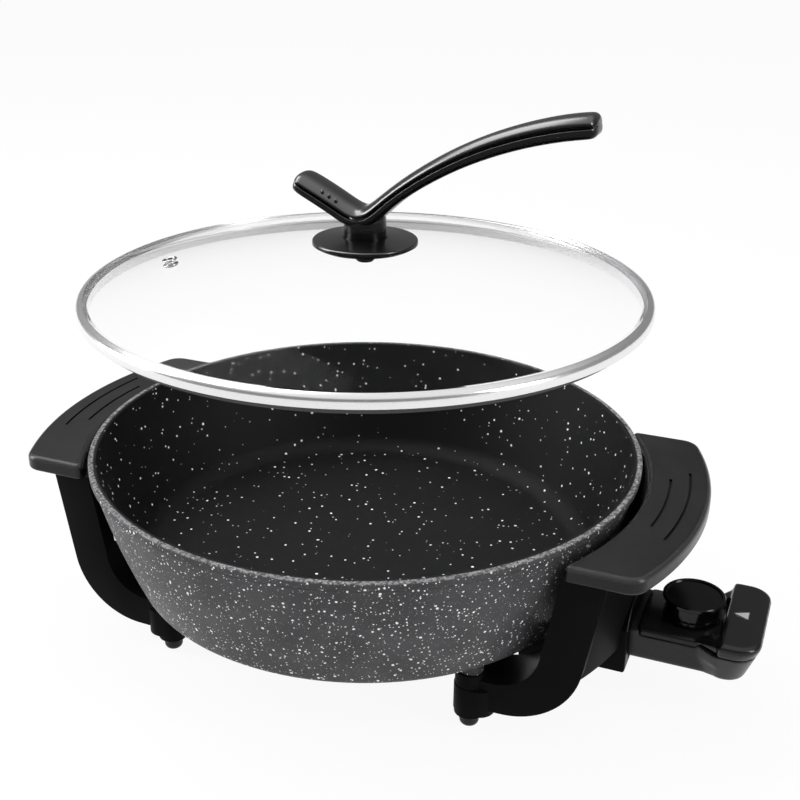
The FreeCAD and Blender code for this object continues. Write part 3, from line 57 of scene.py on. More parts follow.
# %% Read the driving places
pan_low, pan_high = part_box("pot_body")
pot_x = (pan_low[0] + pan_high[0]) / 2
rim_radius = (pan_high[0] - pan_low[0]) / 2
rim_top = pan_high[2]
dial_low, dial_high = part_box("dial_knob")
dial_x = (dial_low[0] + dial_high[0]) / 2
print(f"pot axis at x {pot_x / MM:.1f} mm, rim radius {rim_radius / MM:.1f} mm,",
      f"rim at {rim_top / MM:.1f} mm")

# %% [markdown]
# ## Camera
# The camera stands 75 cm away, to the right of the pot, and looks down by 23 degrees, so the pan's
# inside, its side and the lid above it are all seen. Its aim is written as a direction, and a
# quaternion turns the camera along it. A small lens shift then centres the pot in the view without
# turning the camera.

# %% Set the camera
CAMERA_PLACE = Vector((0.2479, -0.6421, 0.460))
LOOK_LEVEL = Vector((-0.386, 0.9225, 0)).normalized()
LOOK_DOWN = math.radians(23.3)
LENS, SENSOR = 55.4, 36
SHIFT_X, SHIFT_Y = 0.0437, -0.0075

aim = LOOK_LEVEL * math.cos(LOOK_DOWN) - Vector((0, 0, math.sin(LOOK_DOWN)))
camera = bpy.data.objects.new("camera", bpy.data.cameras.new("camera"))
bpy.context.collection.objects.link(camera)
camera.location = CAMERA_PLACE
camera.rotation_euler = aim.to_track_quat("-Z", "Y").to_euler()
camera.data.lens, camera.data.sensor_width = LENS, SENSOR
camera.data.shift_x, camera.data.shift_y = SHIFT_X, SHIFT_Y
camera.data.clip_start = 0.01
bpy.context.scene.camera = camera
print("camera looks along", [round(value, 3) for value in aim])

# %% [markdown]
# ## Writing shaders as sums
# A shader's maths is a net of small nodes, which is slow to read. `Value` wraps one socket and
# gives it Python's own arithmetic, so a mask is written as a formula. `Finish` makes a material and
# its nodes: a node's settings come first, and then the values or links of its sockets.

# %% Shader helpers
class Value:
    """A number that changes over a surface."""

    def __init__(self, finish, socket):
        self.finish, self.socket = finish, socket

    def math(self, operation, *others):
        """One Math node: this value and the others, joined by the operation."""
        node = self.finish.node("ShaderNodeMath", {"operation": operation}, *((self,) + others))
        return Value(self.finish, node.outputs[0])

    def __add__(self, other):
        return self.math("ADD", other)

    def __mul__(self, other):
        return self.math("MULTIPLY", other)

    def __sub__(self, other):
        return self.math("SUBTRACT", other)

    def __rsub__(self, other):
        return self * -1 + other

    __radd__, __rmul__ = __add__, __mul__

    def above(self, edge, blur):
        """0 below the edge and 1 above it, with a soft step that is blur wide."""
        node = self.finish.node("ShaderNodeMapRange", {"interpolation_type": "SMOOTHSTEP"},
                                self, edge - blur / 2, edge + blur / 2, 0.0, 1.0)
        return Value(self.finish, node.outputs[0])

    def below(self, edge, blur):
        """1 below the edge and 0 above it."""
        return 1 - self.above(edge, blur)


class Finish:
    """A material with a Principled shader, made of nodes."""

    def __init__(self, name, colour, roughness, **sockets):
        self.material = bpy.data.materials.new(name)
        self.material.use_nodes = True
        self.nodes = self.material.node_tree.nodes
        self.links = self.material.node_tree.links
        self.shader = self.nodes["Principled BSDF"]
        self.output = self.nodes["Material Output"]
        self.set("Base Color", colour)
        self.set("Roughness", roughness)
        for socket, value in sockets.items():
            self.set(socket.replace("_", " "), value)

    def feed(self, socket, item):
        """Put a number, colour, Value or socket into a node's socket."""
        if isinstance(item, Value):
            item = item.socket
        if isinstance(item, bpy.types.NodeSocket):
            self.links.new(item, socket)
        elif isinstance(item, tuple) and len(item) == 3 and socket.type == "RGBA":
            socket.default_value = item + (1,)
        else:
            socket.default_value = item

    def node(self, kind, settings, *places, **named):
        """A new node with these settings. Its inputs are fed by number or by name."""
        made = self.nodes.new(kind)
        for key, value in settings.items():
            setattr(made, key, value)
        for number, item in enumerate(places):
            self.feed(made.inputs[number], item)
        for name, item in named.items():
            self.feed(made.inputs[name], item)
        return made

    def set(self, socket, item):
        """Feed one socket of the Principled shader."""
        self.feed(self.shader.inputs[socket], item)

    def place(self):
        """The point on the piece, in metres in the frame."""
        return self.node("ShaderNodeTexCoord", {}).outputs["Object"]

    def axes(self):
        """The point's x, y and z as three Values."""
        parts = self.node("ShaderNodeSeparateXYZ", {}, self.place())
        return [Value(self, parts.outputs[letter]) for letter in "XYZ"]

    def from_axis(self):
        """The distance from the pot's upright axis, and the height."""
        x, y, z = self.axes()
        x = x - pot_x
        return (x * x + y * y).math("SQRT"), z

    def upward(self):
        """1 on a face that looks up, 0 on an upright one."""
        geometry = self.node("ShaderNodeNewGeometry", {})
        parts = self.node("ShaderNodeSeparateXYZ", {}, geometry.outputs["Normal"])
        return Value(self, parts.outputs["Z"])

    def noise(self, scale, detail=2.0, vector=None):
        """A cloudy value from 0 to 1, with scale waves in a metre."""
        made = self.node("ShaderNodeTexNoise", {}, Vector=vector or self.place(), Scale=scale,
                         Detail=detail)
        return Value(self, made.outputs["Fac"])

    def mix(self, factor, colour, other):
        """colour where the factor is 0, other where it is 1."""
        made = self.node("ShaderNodeMix", {"data_type": "RGBA"}, Factor=factor)
        self.feed(made.inputs[6], colour)
        self.feed(made.inputs[7], other)
        return made.outputs[2]

    def bump(self, height, distance):
        """Make the surface look as if it rose by distance where height is 1."""
        made = self.node("ShaderNodeBump", {}, Height=height, Distance=distance, Strength=1.0)
        self.set("Normal", made.outputs["Normal"])


def dress(finish, *nodes):
    """Give CAD nodes this finish."""
    for name in nodes:
        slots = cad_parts[name].data.materials
        slots.clear()
        slots.append(finish.material)
    print(finish.material.name, "->", ", ".join(nodes))


# %% [markdown]
# ## Floor and light
# The pot stands on a plain white floor that runs out of the view on all sides. Rays that come
# from the camera, a reflection or glass see the floor partly as its own light, so it stays white
# without extra lamps, while the rest of it still takes the pot's shadow.

# %% Make the floor
FLOOR_HALF = 9.0
FLOOR_GLOW = 0.93
FLOOR_DROP = 0.2 * MM

bpy.ops.object.select_all(action="DESELECT")
bpy.ops.mesh.primitive_plane_add(size=2 * FLOOR_HALF, location=(0, 0, -FLOOR_DROP))
floor = bpy.context.object
floor.name = "floor"
white = Finish("white_floor", (0.93, 0.93, 0.93), 0.9)
rays = white.node("ShaderNodeLightPath", {})
seen = Value(white, rays.outputs["Is Camera Ray"]) + Value(white, rays.outputs["Is Glossy Ray"])
seen = seen + Value(white, rays.outputs["Is Transmission Ray"])
glow = white.node("ShaderNodeEmission", {}, Color=(1.0, 1.0, 1.0), Strength=1.0)
blend = white.node("ShaderNodeMixShader", {}, seen * FLOOR_GLOW)
white.links.new(white.shader.outputs[0], blend.inputs[1])
white.links.new(glow.outputs[0], blend.inputs[2])
white.links.new(blend.outputs[0], white.output.inputs["Surface"])
floor.data.materials.append(white.material)
print("floor is", 2 * FLOOR_HALF, "m across")

# %% [markdown]
# Two upright soft boxes stand at the sides, as in a small product studio. Round black plastic shows
# them as soft streaks, which is what tells the eye that it is smooth. A wide one hangs overhead and
# is kept out of reflections, so level black faces stay black. A fourth hangs high at the left:
# crowned forms that lean towards it mirror it as a light line along their length.

# %% Hang the lamps
def soft_box(name, place, target, width, height, watts):
    """A rectangular area lamp that faces a target."""
    data = bpy.data.lights.new(name, "AREA")
    data.shape, data.size, data.size_y, data.energy = "RECTANGLE", width, height, watts
    lamp = bpy.data.objects.new(name, data)
    bpy.context.collection.objects.link(lamp)
    lamp.location = place
    lamp.rotation_euler = (Vector(target) - Vector(place)).to_track_quat("-Z", "Y").to_euler()
    print(name, watts, "W at", place)
    return lamp


middle = (0, 0, rim_top)
soft_box("left_box", (-1.85, -0.5, 0.8), middle, 0.8, 1.5, 29)
soft_box("right_box", (1.7, -0.3, 0.9), middle, 0.5, 1.3, 15)
top_box = soft_box("top_box", (0.1, 0.3, 2.0), middle, 1.8, 1.4, 6)
top_box.visible_glossy = False
soft_box("crest_box", (-0.95, 0.2, 1.55), middle, 1.6, 0.85, 14)

# %% [markdown]
# The rest of the studio is a sky that is dark near the horizon and pale overhead. A flat black face
# seen from a low camera mirrors the dark part, so it stays black, while the pale part lights every
# level surface evenly. The sky's brightness is a step on the height of the direction looked at.

# %% Make the studio's sky
SKY_LOW, SKY_HIGH = 0.16, 0.85
SKY_STEP = (0.55, 0.9)

world = bpy.data.worlds.new("studio")
world.use_nodes = True
sky = world.node_tree
direction = sky.nodes.new("ShaderNodeTexCoord")
height = sky.nodes.new("ShaderNodeSeparateXYZ")
step = sky.nodes.new("ShaderNodeMapRange")
step.interpolation_type = "SMOOTHSTEP"
for number, value in zip((1, 2, 3, 4), SKY_STEP + (SKY_LOW, SKY_HIGH)):
    step.inputs[number].default_value = value
sky.links.new(direction.outputs["Generated"], height.inputs[0])
sky.links.new(height.outputs["Z"], step.inputs[0])
sky.links.new(step.outputs[0], sky.nodes["Background"].inputs["Strength"])
sky.nodes["Background"].inputs["Color"].default_value = (1, 1, 1, 1)
bpy.context.scene.world = world
bpy.context.scene.view_settings.view_transform = "Standard"
print("sky goes from", SKY_LOW, "at the horizon to", SKY_HIGH, "overhead")

# %% [markdown]
# ## The speckled pan
# The pan is die-cast aluminium with a sprayed stone-look coating: dark grey paint with white flecks
# of many sizes. A Voronoi texture scatters one point in each small cell, and a fleck is drawn where
# the distance to that point is under a size picked by the cell's own random colour. A cell whose
# size comes out below zero stays empty. Grids of several sizes give the mix of dust and flakes, and
# noise bends each grid a little, so the flecks aren't all round.
#
# The coating has three fields. Outside it is grey and well speckled, inside it is nearly black with
# few flecks, and the flat lip between them is rubbed to a mottled grey. The field is found from the
# distance to the pot's axis and the height: the wall's inner face is a cone.

# %% Scatter the flecks
FLECK_BEND = 0.28
FLECK_BEND_SCALE = 1.7
FLECK_BLUR = 0.06


def flecks(finish, per_metre, least, most, rarity=1.0):
    """White flecks in a grid with this many cells per metre.

    least and most are the flecks' radii in shares of a cell. rarity above 1 makes large ones rare.
    """
    place = finish.place()
    bend = finish.node("ShaderNodeTexNoise", {}, Vector=place, Scale=per_metre * FLECK_BEND_SCALE,
                       Detail=1.0)
    shift = finish.node("ShaderNodeVectorMath", {"operation": "SCALE"}, bend.outputs["Color"])
    shift.inputs["Scale"].default_value = FLECK_BEND / per_metre
    bent = finish.node("ShaderNodeVectorMath", {"operation": "ADD"}, place, shift.outputs[0])
    cells = finish.node("ShaderNodeTexVoronoi", {}, Vector=bent.outputs[0], Scale=float(per_metre))
    chance = finish.node("ShaderNodeSeparateColor", {}, cells.outputs["Color"])
    size = Value(finish, chance.outputs[0]).math("POWER", rarity) * (most - least) + least
    gap = size - Value(finish, cells.outputs["Distance"])
    return gap.above(0.0, FLECK_BLUR)


coat = Finish("speckled_coating", (0.08, 0.08, 0.08), 0.42, Specular_IOR_Level=0.2)
from_axis, z = coat.from_axis()
print("coating's nodes so far:", len(coat.nodes))

# %% [markdown]
# The three fields, and then the flecks in each of them, are masks that run from 0 to 1.

# %% Paint the pan
WALL_LOW = pan_low[2] + 5 * MM
INSIDE_LOW = 52.5 * MM
PAN_FLOOR_RADIUS = 140 * MM
WALL_SHEET = 3 * MM
LIP_DEPTH, FIELD_BLUR = 0.6 * MM, 1 * MM
GROOVE_LOW, GROOVE_HIGH = rim_top - 5.6 * MM, rim_top - 4.6 * MM
OUTSIDE_DARK, OUTSIDE_PALE = (0.04, 0.04, 0.0425), (0.064, 0.064, 0.0675)
LIP_DARK, LIP_PALE = (0.05, 0.05, 0.052), (0.24, 0.24, 0.245)
INSIDE_BLACK = (0.0014, 0.0014, 0.0018)
# Painted shade: the near-black colour laid in the groove under the rim.
GROOVE_SHADE = (0.01, 0.01, 0.01)
FLECK_WHITE, LIP_FLECK = (0.92, 0.92, 0.92), (0.4, 0.4, 0.4)
GROOVE_SHADE_STRENGTH, DUST_STRENGTH = 0.6, 0.16
COATING_ROUGHNESS, INSIDE_ROUGHER = 0.4, 0.16
COATING_RELIEF = 0.05 * MM

slope = (rim_radius - WALL_SHEET - PAN_FLOOR_RADIUS) / (rim_top - WALL_LOW)
inside = (from_axis - (z - WALL_LOW) * slope).below(PAN_FLOOR_RADIUS, FIELD_BLUR)
inside = inside * z.above(INSIDE_LOW, FIELD_BLUR)
outside = 1 - inside
lip = z.above(rim_top - LIP_DEPTH, LIP_DEPTH)
# Painted shade: a dark band along the groove just below the rim, on the outside.
groove_shade = z.above(GROOVE_LOW, LIP_DEPTH) * z.below(GROOVE_HIGH, LIP_DEPTH) * outside

clouds, mottles = coat.noise(38.0, 3.0), coat.noise(650.0, 2.0)
stone = coat.mix(clouds.above(0.5, 0.5), OUTSIDE_DARK, OUTSIDE_PALE)
lip_stone = coat.mix(mottles.above(0.5, 0.25), LIP_DARK, LIP_PALE)
stone = coat.mix(lip, stone, lip_stone)
stone = coat.mix(inside, stone, INSIDE_BLACK)
# The groove's band darkens the coating there as painted shade.
stone = coat.mix(groove_shade * GROOVE_SHADE_STRENGTH, stone, GROOVE_SHADE)

dust = flecks(coat, 900, -0.1, 0.3) * outside * DUST_STRENGTH
flakes = flecks(coat, 330, -0.08, 0.27).math("MAXIMUM", flecks(coat, 520, -0.06, 0.26)) * outside
sparse = flecks(coat, 300, -0.3, 0.26, 1.4) * inside
speck = dust.math("MAXIMUM", flakes).math("MAXIMUM", sparse)

coat.set("Base Color", coat.mix(speck, stone, coat.mix(lip, FLECK_WHITE, LIP_FLECK)))
coat.set("Roughness", coat.noise(900.0, 1.0) * 0.12 + inside * INSIDE_ROUGHER + COATING_ROUGHNESS)
coat.bump(speck * 0.6 + coat.noise(700.0, 2.0) * 0.4, COATING_RELIEF)
dress(coat, "pot_body")

# %% [markdown]
# ## Moulded resin
# The handles, stands, shroud and control are moulded in black thermoset resin. Each mould is
# polished to its own degree, so each finish has its own depth of black and its own roughness. A
# fine grain in the bump keeps wide faces from looking like paper, and a slow noise varies the gloss
# as handling does. A specular level near zero keeps an upright black face from mirroring the white
# floor, and the faces that look up get their gloss back as a coat.

# %% Mix the resins
COAT_EDGE, COAT_BLUR = 0.35, 0.7
COAT_ROUGHNESS = 0.24
GLOSS_SCALE, GLOSS_SPREAD = 60.0, 0.1
WEAR_SCALE = 25.0
FRESH_TINT, WORN_TINT = (1, 1, 1.03), (1.25, 1.25, 1.29)


def resin(name, level, rough, shine=0.0, grain=0.02, grain_scale=2600.0, **sockets):
    """Moulded plastic. shine is a clear gloss on the faces that look up; grain is in mm."""
    fresh = tuple(level * part for part in FRESH_TINT)
    worn = tuple(level * part for part in WORN_TINT)
    made = Finish(name, fresh, rough, **sockets)
    gloss = made.noise(GLOSS_SCALE, 3.0) * GLOSS_SPREAD
    made.set("Roughness", gloss + (rough - GLOSS_SPREAD / 2))
    wear = made.noise(WEAR_SCALE, 4.0).above(0.55, 0.5)
    made.set("Base Color", made.mix(wear, fresh, worn))
    made.bump(made.noise(grain_scale, 2.0), grain * MM)
    if shine:
        made.set("Coat Weight", made.upward().above(COAT_EDGE, COAT_BLUR) * shine)
        made.set("Coat Roughness", COAT_ROUGHNESS)
    return made


handle_resin = resin("handle_resin", 0.015, 0.44, Specular_IOR_Level=0.3)
black_resin = resin("black_resin", 0.005, 0.44, 0.1, Specular_IOR_Level=0.03)
shroud_resin = resin("shroud_resin", 0.001, 0.36, 0.2, Specular_IOR_Level=0.05)
housing_resin = resin("housing_resin", 0.016, 0.28, Specular_IOR_Level=0.3)
gloss_resin = resin("gloss_resin", 0.008, 0.2, 0.5, grain=0.008, Specular_IOR_Level=0.25)
knob_resin = resin("knob_resin", 0.003, 0.22, 1.0, grain=0.01, Specular_IOR_Level=0.14,
                   Coat_IOR=2.1)
dial_resin = resin("dial_resin", 0.002, 0.16, grain=0.006, Specular_IOR_Level=0.3)
dress(handle_resin, "left_handle", "right_handle")
dress(black_resin, "left_bracket", "right_bracket")
dress(shroud_resin, "socket_shroud")
dress(housing_resin, "control_lower_housing")
dress(gloss_resin, "control_upper_housing")
dress(knob_resin, "knob_base")
dress(dial_resin, "dial_knob")

# %% [markdown]
# Rubber is duller and has a coarser grain. The switch inside the control is a grey moulding.

# %% Mix the rubbers
switch_resin = resin("switch_resin", 0.05, 0.5)
foot_rubber = resin("foot_rubber", 0.003, 0.5, grain=0.04, Specular_IOR_Level=0.3)
bush_rubber = resin("bush_rubber", 0.01, 0.6, grain=0.03)
gasket_rubber = resin("gasket_rubber", 0.014, 0.55)
dress(switch_resin, "thermostat_switch")
dress(foot_rubber, "front_right_foot", "rear_right_foot", "front_left_foot", "rear_left_foot")
dress(bush_rubber, "cord_bush")
dress(gasket_rubber, "knob_gasket")

# %% [markdown]
# The handles need more: their flat tops are satin and the upright walls are polished. Their colour
# carries painted light: the upright walls are painted darker than the tops as shade, and the
# rounded edges between the two get a pale painted highlight. The direction that a face looks tells
# the three apart. The grooves' floors are told by their height and get painted shade, darker still.

# %% Finish the handles
TOP_DARK, TOP_PALE = (0.008, 0.008, 0.0085), (0.013, 0.013, 0.0135)
# Painted light: a darker colour on the upright walls as shade, a pale painted highlight on the
# rounded edges, and near-black painted shade on the grooves' floors.
WALL_SHADE, EDGE_HIGHLIGHT = (0.003, 0.003, 0.003), (0.035, 0.035, 0.036)
HANDLE_GROOVE_SHADE = (0.0005, 0.0005, 0.0005)
LEVEL_FACE, SLOPING_FACE = 0.97, 0.2
WALL_ROUGHNESS, TOP_ROUGHER = 0.2, 0.2

handle_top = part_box("left_handle")[1].z
z = handle_resin.axes()[2]
up = handle_resin.upward()
flat = up.above(LEVEL_FACE, 0.04)
# Painted highlight: the mask of the sloping rounded edges.
edge_highlight = up.above(SLOPING_FACE, 0.3) * (1 - flat)
# Painted shade: the mask of the grooves' floors.
groove_shade = z.below(handle_top - 0.4 * MM, 0.3 * MM) * flat
wear = handle_resin.noise(WEAR_SCALE, 4.0).above(0.55, 0.5)
top_colour = handle_resin.mix(wear, TOP_DARK, TOP_PALE)
# Painted shade on the upright walls, with a painted highlight on their rounded edges.
wall_shade_and_highlight = handle_resin.mix(edge_highlight, WALL_SHADE, EDGE_HIGHLIGHT)
colour = handle_resin.mix(flat, wall_shade_and_highlight, top_colour)
handle_resin.set("Base Color", handle_resin.mix(groove_shade, colour, HANDLE_GROOVE_SHADE))
gloss = handle_resin.noise(GLOSS_SCALE, 3.0) * GLOSS_SPREAD
handle_resin.set("Roughness", flat * TOP_ROUGHER + gloss + WALL_ROUGHNESS)
print(f"handles' tops are at {handle_top / MM:.1f} mm")

# %% [markdown]
# ## Metals and ceramics
# The small parts under the pan and inside the control are drawn or plated steel and brass. A
# metal's dull patches and its streaks come from one noise, so they fall in the same places.

# %% Mix the metals
STREAK_SPREAD = 0.14
STREAK_DULL = 0.86
STREAK_RELIEF = 0.012 * MM


def metal(name, colour, rough, streak_scale=240.0):
    """Bare or plated metal with a streaky gloss."""
    made = Finish(name, colour, rough, Metallic=1.0)
    streak = made.noise(streak_scale, 3.0)
    made.set("Roughness", streak * STREAK_SPREAD + (rough - STREAK_SPREAD / 2))
    dull = tuple(part * STREAK_DULL for part in colour)
    made.set("Base Color", made.mix(streak.above(0.5, 0.4), colour, dull))
    made.bump(streak, STREAK_RELIEF)
    return made


element_steel = metal("element_steel", (0.34, 0.33, 0.32), 0.5)
pin_metal = metal("pin_metal", (0.78, 0.77, 0.75), 0.22)
zinc_sheet = metal("zinc_sheet", (0.62, 0.64, 0.65), 0.38, 90.0)
screw_steel = metal("screw_steel", (0.55, 0.55, 0.55), 0.34, 900.0)
blackened_steel = metal("blackened_steel", (0.02, 0.02, 0.02), 0.4, 900.0)
probe_steel = metal("probe_steel", (0.7, 0.7, 0.7), 0.26)
contact_brass = metal("contact_brass", (0.78, 0.58, 0.26), 0.3)
shaft_steel = metal("shaft_steel", (0.6, 0.6, 0.6), 0.3)
vent_metal = metal("vent_metal", (0.72, 0.72, 0.72), 0.14, 900.0)
ceramic = resin("ceramic", 0.7, 0.62, grain=0.05, grain_scale=1500.0)
dress(element_steel, "heating_element")
dress(pin_metal, "terminal_pin_front", "terminal_pin_rear")
dress(zinc_sheet, "terminal_plate")
dress(screw_steel, "bracket_screws", "handle_screws", "shroud_screws", "housing_screws")
dress(blackened_steel, "knob_washer", "knob_screw")
dress(probe_steel, "thermostat_probe")
dress(contact_brass, "contact_sleeve_front", "contact_sleeve_rear", "contact_blade_front",
      "contact_blade_rear")
dress(shaft_steel, "dial_shaft")
dress(ceramic, "insulator_front", "insulator_rear")

# %% [markdown]
# ## The lid's band
# The band is polished stainless steel rolled round the glass. Its brushing runs round the rim, so
# the roughness comes from a noise that reads only the distance from the axis and the height. A
# skirt hangs below the band's seat. Its outer face is painted near-black and not metallic, as a
# painted shadow line along the band's lower edge.

# %% Finish the lid's band
BAND_SKIRT = 4 * MM
# The skirt's near-black colour is painted shade: a dark line under the band.
BAND_STEEL, SKIRT_SHADE = (0.84, 0.84, 0.85), (0.03, 0.03, 0.03)
BAND_METALLIC, SKIRT_SHADE_METALLIC = 0.85, 0.05
BAND_ROUGHNESS, BRUSH_SPREAD = 0.18, 0.1
SKIRT_TOP, SKIRT_SHEET, SKIRT_BLUR = 0.2 * MM, 0.6 * MM, 0.3 * MM

band_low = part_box("lid_rim")[0].z + BAND_SKIRT
skirt_points = [point.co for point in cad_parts["lid_rim"].data.vertices
                if point.co.z < band_low - BAND_SKIRT / 2]
skirt_radius = max(math.hypot(point.x - pot_x, point.y) for point in skirt_points)
print(f"the skirt's radius is {skirt_radius / MM:.1f} mm")

band = Finish("polished_band", BAND_STEEL, 0.3)
from_axis, z = band.from_axis()
lines = band.node("ShaderNodeCombineXYZ", {}, from_axis, z, 0.0)
brush = band.noise(700.0, 2.0, lines.outputs[0])
outer = from_axis.above(skirt_radius - SKIRT_SHEET, SKIRT_BLUR)
# Painted shadow: the skirt's outer face is made dark and not metallic.
skirt_shade = z.below(band_low - SKIRT_TOP, SKIRT_BLUR) * outer
band.set("Base Color", band.mix(skirt_shade, BAND_STEEL, SKIRT_SHADE))
band.set("Metallic", BAND_METALLIC - skirt_shade * (BAND_METALLIC - SKIRT_SHADE_METALLIC))
band.set("Roughness", brush * BRUSH_SPREAD + BAND_ROUGHNESS)

# %% [markdown]
# The band itself is rolled from one strip: skirt, seat, wall, round shoulder and a short lip that
# is turned down on the glass. Such a shape is a profile spun round an axis. The profile's points
# are put at their radius and height, and the Spin operator carries them round the lid.

# %% Spin the lid's band
BAND_RADIUS = (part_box("lid_rim")[1].x - pot_x) / MM
SKIRT_RADIUS = skirt_radius / MM
BAND_SHEET = 1.2
SHOULDER = [(0.4, 0), (0, 0.4), (0, 3.6), (0.15, 4.6), (0.6, 5.5), (1.3, 6.2), (2.2, 6.7),
            (3.9, 7.3), (4.3, 7.2), (4.4, 6.8), (4.1, 6.3), (2.4, 5.7), (BAND_SHEET, 4.4),
            (BAND_SHEET, BAND_SHEET)]
BAND_PROFILE = [(SKIRT_RADIUS, -BAND_SKIRT / MM), (SKIRT_RADIUS, 0)]
BAND_PROFILE += [(BAND_RADIUS - inward, high) for inward, high in SHOULDER]
BAND_PROFILE += [(SKIRT_RADIUS - BAND_SHEET, BAND_SHEET),
                 (SKIRT_RADIUS - BAND_SHEET, -BAND_SKIRT / MM)]
BAND_STEPS = 180

bpy.ops.object.select_all(action="DESELECT")
bpy.ops.mesh.primitive_circle_add(vertices=len(BAND_PROFILE), fill_type="NOTHING",
                                  location=(0, 0, 0))
rim = bpy.context.object
rim.name = "lid_band"
for vertex, (radius, high) in zip(rim.data.vertices, BAND_PROFILE):
    vertex.co = Vector((pot_x + radius * MM, 0, band_low + high * MM))
bpy.ops.object.mode_set(mode="EDIT")
bpy.ops.mesh.select_all(action="SELECT")
bpy.ops.mesh.spin(steps=BAND_STEPS, angle=2 * math.pi, center=(pot_x, 0, band_low), axis=(0, 0, 1))
bpy.ops.mesh.select_all(action="SELECT")
bpy.ops.mesh.normals_make_consistent(inside=False)
bpy.ops.object.mode_set(mode="OBJECT")
rim.data.materials.append(band.material)
bpy.ops.object.shade_smooth_by_angle(angle=math.radians(32))
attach(rim, "lid")
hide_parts("lid_rim")
print("band has", len(rim.data.polygons), "faces")

# %% [markdown]
# ## Clear pieces
# The dome is tempered glass. A Principled shader with full transmission bends light as glass
# does, but it also stops the lamps, which would leave the pan below it in a false shadow. So rays
# on their way to a lamp pass through a plain Transparent shader instead. The dome's round edge sits
# inside the band and lets all rays straight through. The control's window is a pale resin, and the
# lamp behind it is amber glass.

# %% Pour the glass
def clear(name, tint, rough, shade, ior):
    """Glass. shade is the colour that lamps get through it."""
    made = Finish(name, tint, rough, Transmission_Weight=1.0, IOR=ior)
    path = made.node("ShaderNodeLightPath", {})
    made.lamp_ray = Value(made, path.outputs["Is Shadow Ray"])
    pass_by = made.node("ShaderNodeBsdfTransparent", {}, Color=shade)
    blend = made.node("ShaderNodeMixShader", {}, made.lamp_ray)
    made.straight = blend.inputs[0]
    made.links.new(made.shader.outputs[0], blend.inputs[1])
    made.links.new(pass_by.outputs[0], blend.inputs[2])
    made.links.new(blend.outputs[0], made.output.inputs["Surface"])
    return made


LID_IOR, LAMP_IOR = 1.06, 1.45
SMEAR_ROUGHNESS = 0.02
EDGE_BLUR = 1 * MM

lid_glass = clear("lid_glass", (1.0, 1.0, 1.0), 0.0, (0.98, 0.98, 0.98), LID_IOR)
smear = lid_glass.noise(14.0, 4.0).above(0.62, 0.3)
lid_glass.set("Roughness", smear * SMEAR_ROUGHNESS)
edge = lid_glass.from_axis()[0].above(skirt_radius - BAND_SHEET * MM, EDGE_BLUR)
lid_glass.feed(lid_glass.straight, lid_glass.lamp_ray.math("MAXIMUM", edge))
lens_resin = resin("lens_resin", 0.55, 0.4, grain=0.04, grain_scale=1800.0)
lamp_glass = clear("lamp_glass", (0.95, 0.6, 0.4), 0.05, (0.9, 0.6, 0.4), LAMP_IOR)
lamp_glass.set("Roughness", lamp_glass.noise(300.0) * 0.1)
dress(lid_glass, "lid_glass")
dress(lens_resin, "indicator_lens")
dress(lamp_glass, "indicator_lamp")

# %% [markdown]
# ## Softened edges
# A moulded edge is never sharp: the mould's own corner is round, and it shows as a thin light line.
# The CAD solids keep the main edges plain, so a copy of such a solid takes its place here. Its
# loose triangles are merged, flat faces become one face each, and a Bevel modifier rounds every
# edge that is sharper than an angle. Its normals come out smooth across the new strips.

# %% Round the moulded edges
MERGE = 0.002 * MM
FLAT_ANGLE, SHARP_ANGLE, SMOOTH_ANGLE = math.radians(0.6), math.radians(28), math.radians(35)
BEVEL_STEPS = 3


def softened(node, body, width):
    """A copy of a CAD node with its sharp edges rounded by width in mm, which replaces the node."""
    piece = bpy.data.objects.new(node + "_soft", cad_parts[node].data.copy())
    bpy.context.collection.objects.link(piece)
    bpy.ops.object.select_all(action="DESELECT")
    piece.select_set(True)
    bpy.context.view_layer.objects.active = piece
    bpy.ops.object.mode_set(mode="EDIT")
    bpy.ops.mesh.select_all(action="SELECT")
    bpy.ops.mesh.remove_doubles(threshold=MERGE)
    bpy.ops.mesh.dissolve_limited(angle_limit=FLAT_ANGLE)
    bpy.ops.object.mode_set(mode="OBJECT")
    bevel = piece.modifiers.new("round", "BEVEL")
    bevel.width, bevel.segments = width * MM, BEVEL_STEPS
    bevel.limit_method, bevel.angle_limit = "ANGLE", SHARP_ANGLE
    bpy.ops.object.modifier_apply(modifier="round")
    bpy.ops.object.shade_smooth_by_angle(angle=SMOOTH_ANGLE)
    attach(piece, body)
    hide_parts(node)
    print(piece.name, len(piece.data.polygons), "faces")


for side in ("left", "right"):
    softened(side + "_bracket", "cooker", 1.4)
softened("socket_shroud", "cooker", 1.0)

# %% [markdown]
# ## The control's two shells
# The thermostat control is moulded as one flowing form: its straight tub swells into a grip bar
# that is wider than itself. Sharp CAD corners can't show that, so each shell is modelled again as
# clay is. A copy of the solid gets a wedge pressed into each inner corner, a voxel Remesh turns all
# of it into one skin of small even faces, and a Smooth modifier relaxes the skin, which rounds
# every edge and fills every corner. The two shells are done apart, so the parting line stays.

# %% Mould the control's shells
TUB_HALF = 23.8
WEDGE_ROOT = 4
VOXEL = 0.8


def wedge(side, levels):
    """A filler in the corner between the tub and the bar.

    levels has a row for its foot and a row for its top: the height, where the filler starts, how
    far out it reaches at its end, and where it ends, in mm. Lengths start at the dial's axis.
    """
    bpy.ops.mesh.primitive_cube_add(size=1, location=(0, 0, 0))
    filler = bpy.context.object
    for vertex in filler.data.vertices:
        height, start, reach, end = levels[vertex.co.z > 0]
        far = vertex.co.x > 0
        out = (reach if far else TUB_HALF) if vertex.co.y > 0 else TUB_HALF - WEDGE_ROOT
        vertex.co = Vector((dial_x / MM + (end if far else start), side * out, height)) * MM
    bpy.ops.object.mode_set(mode="EDIT")
    bpy.ops.mesh.normals_make_consistent(inside=False)
    bpy.ops.object.mode_set(mode="OBJECT")
    return filler


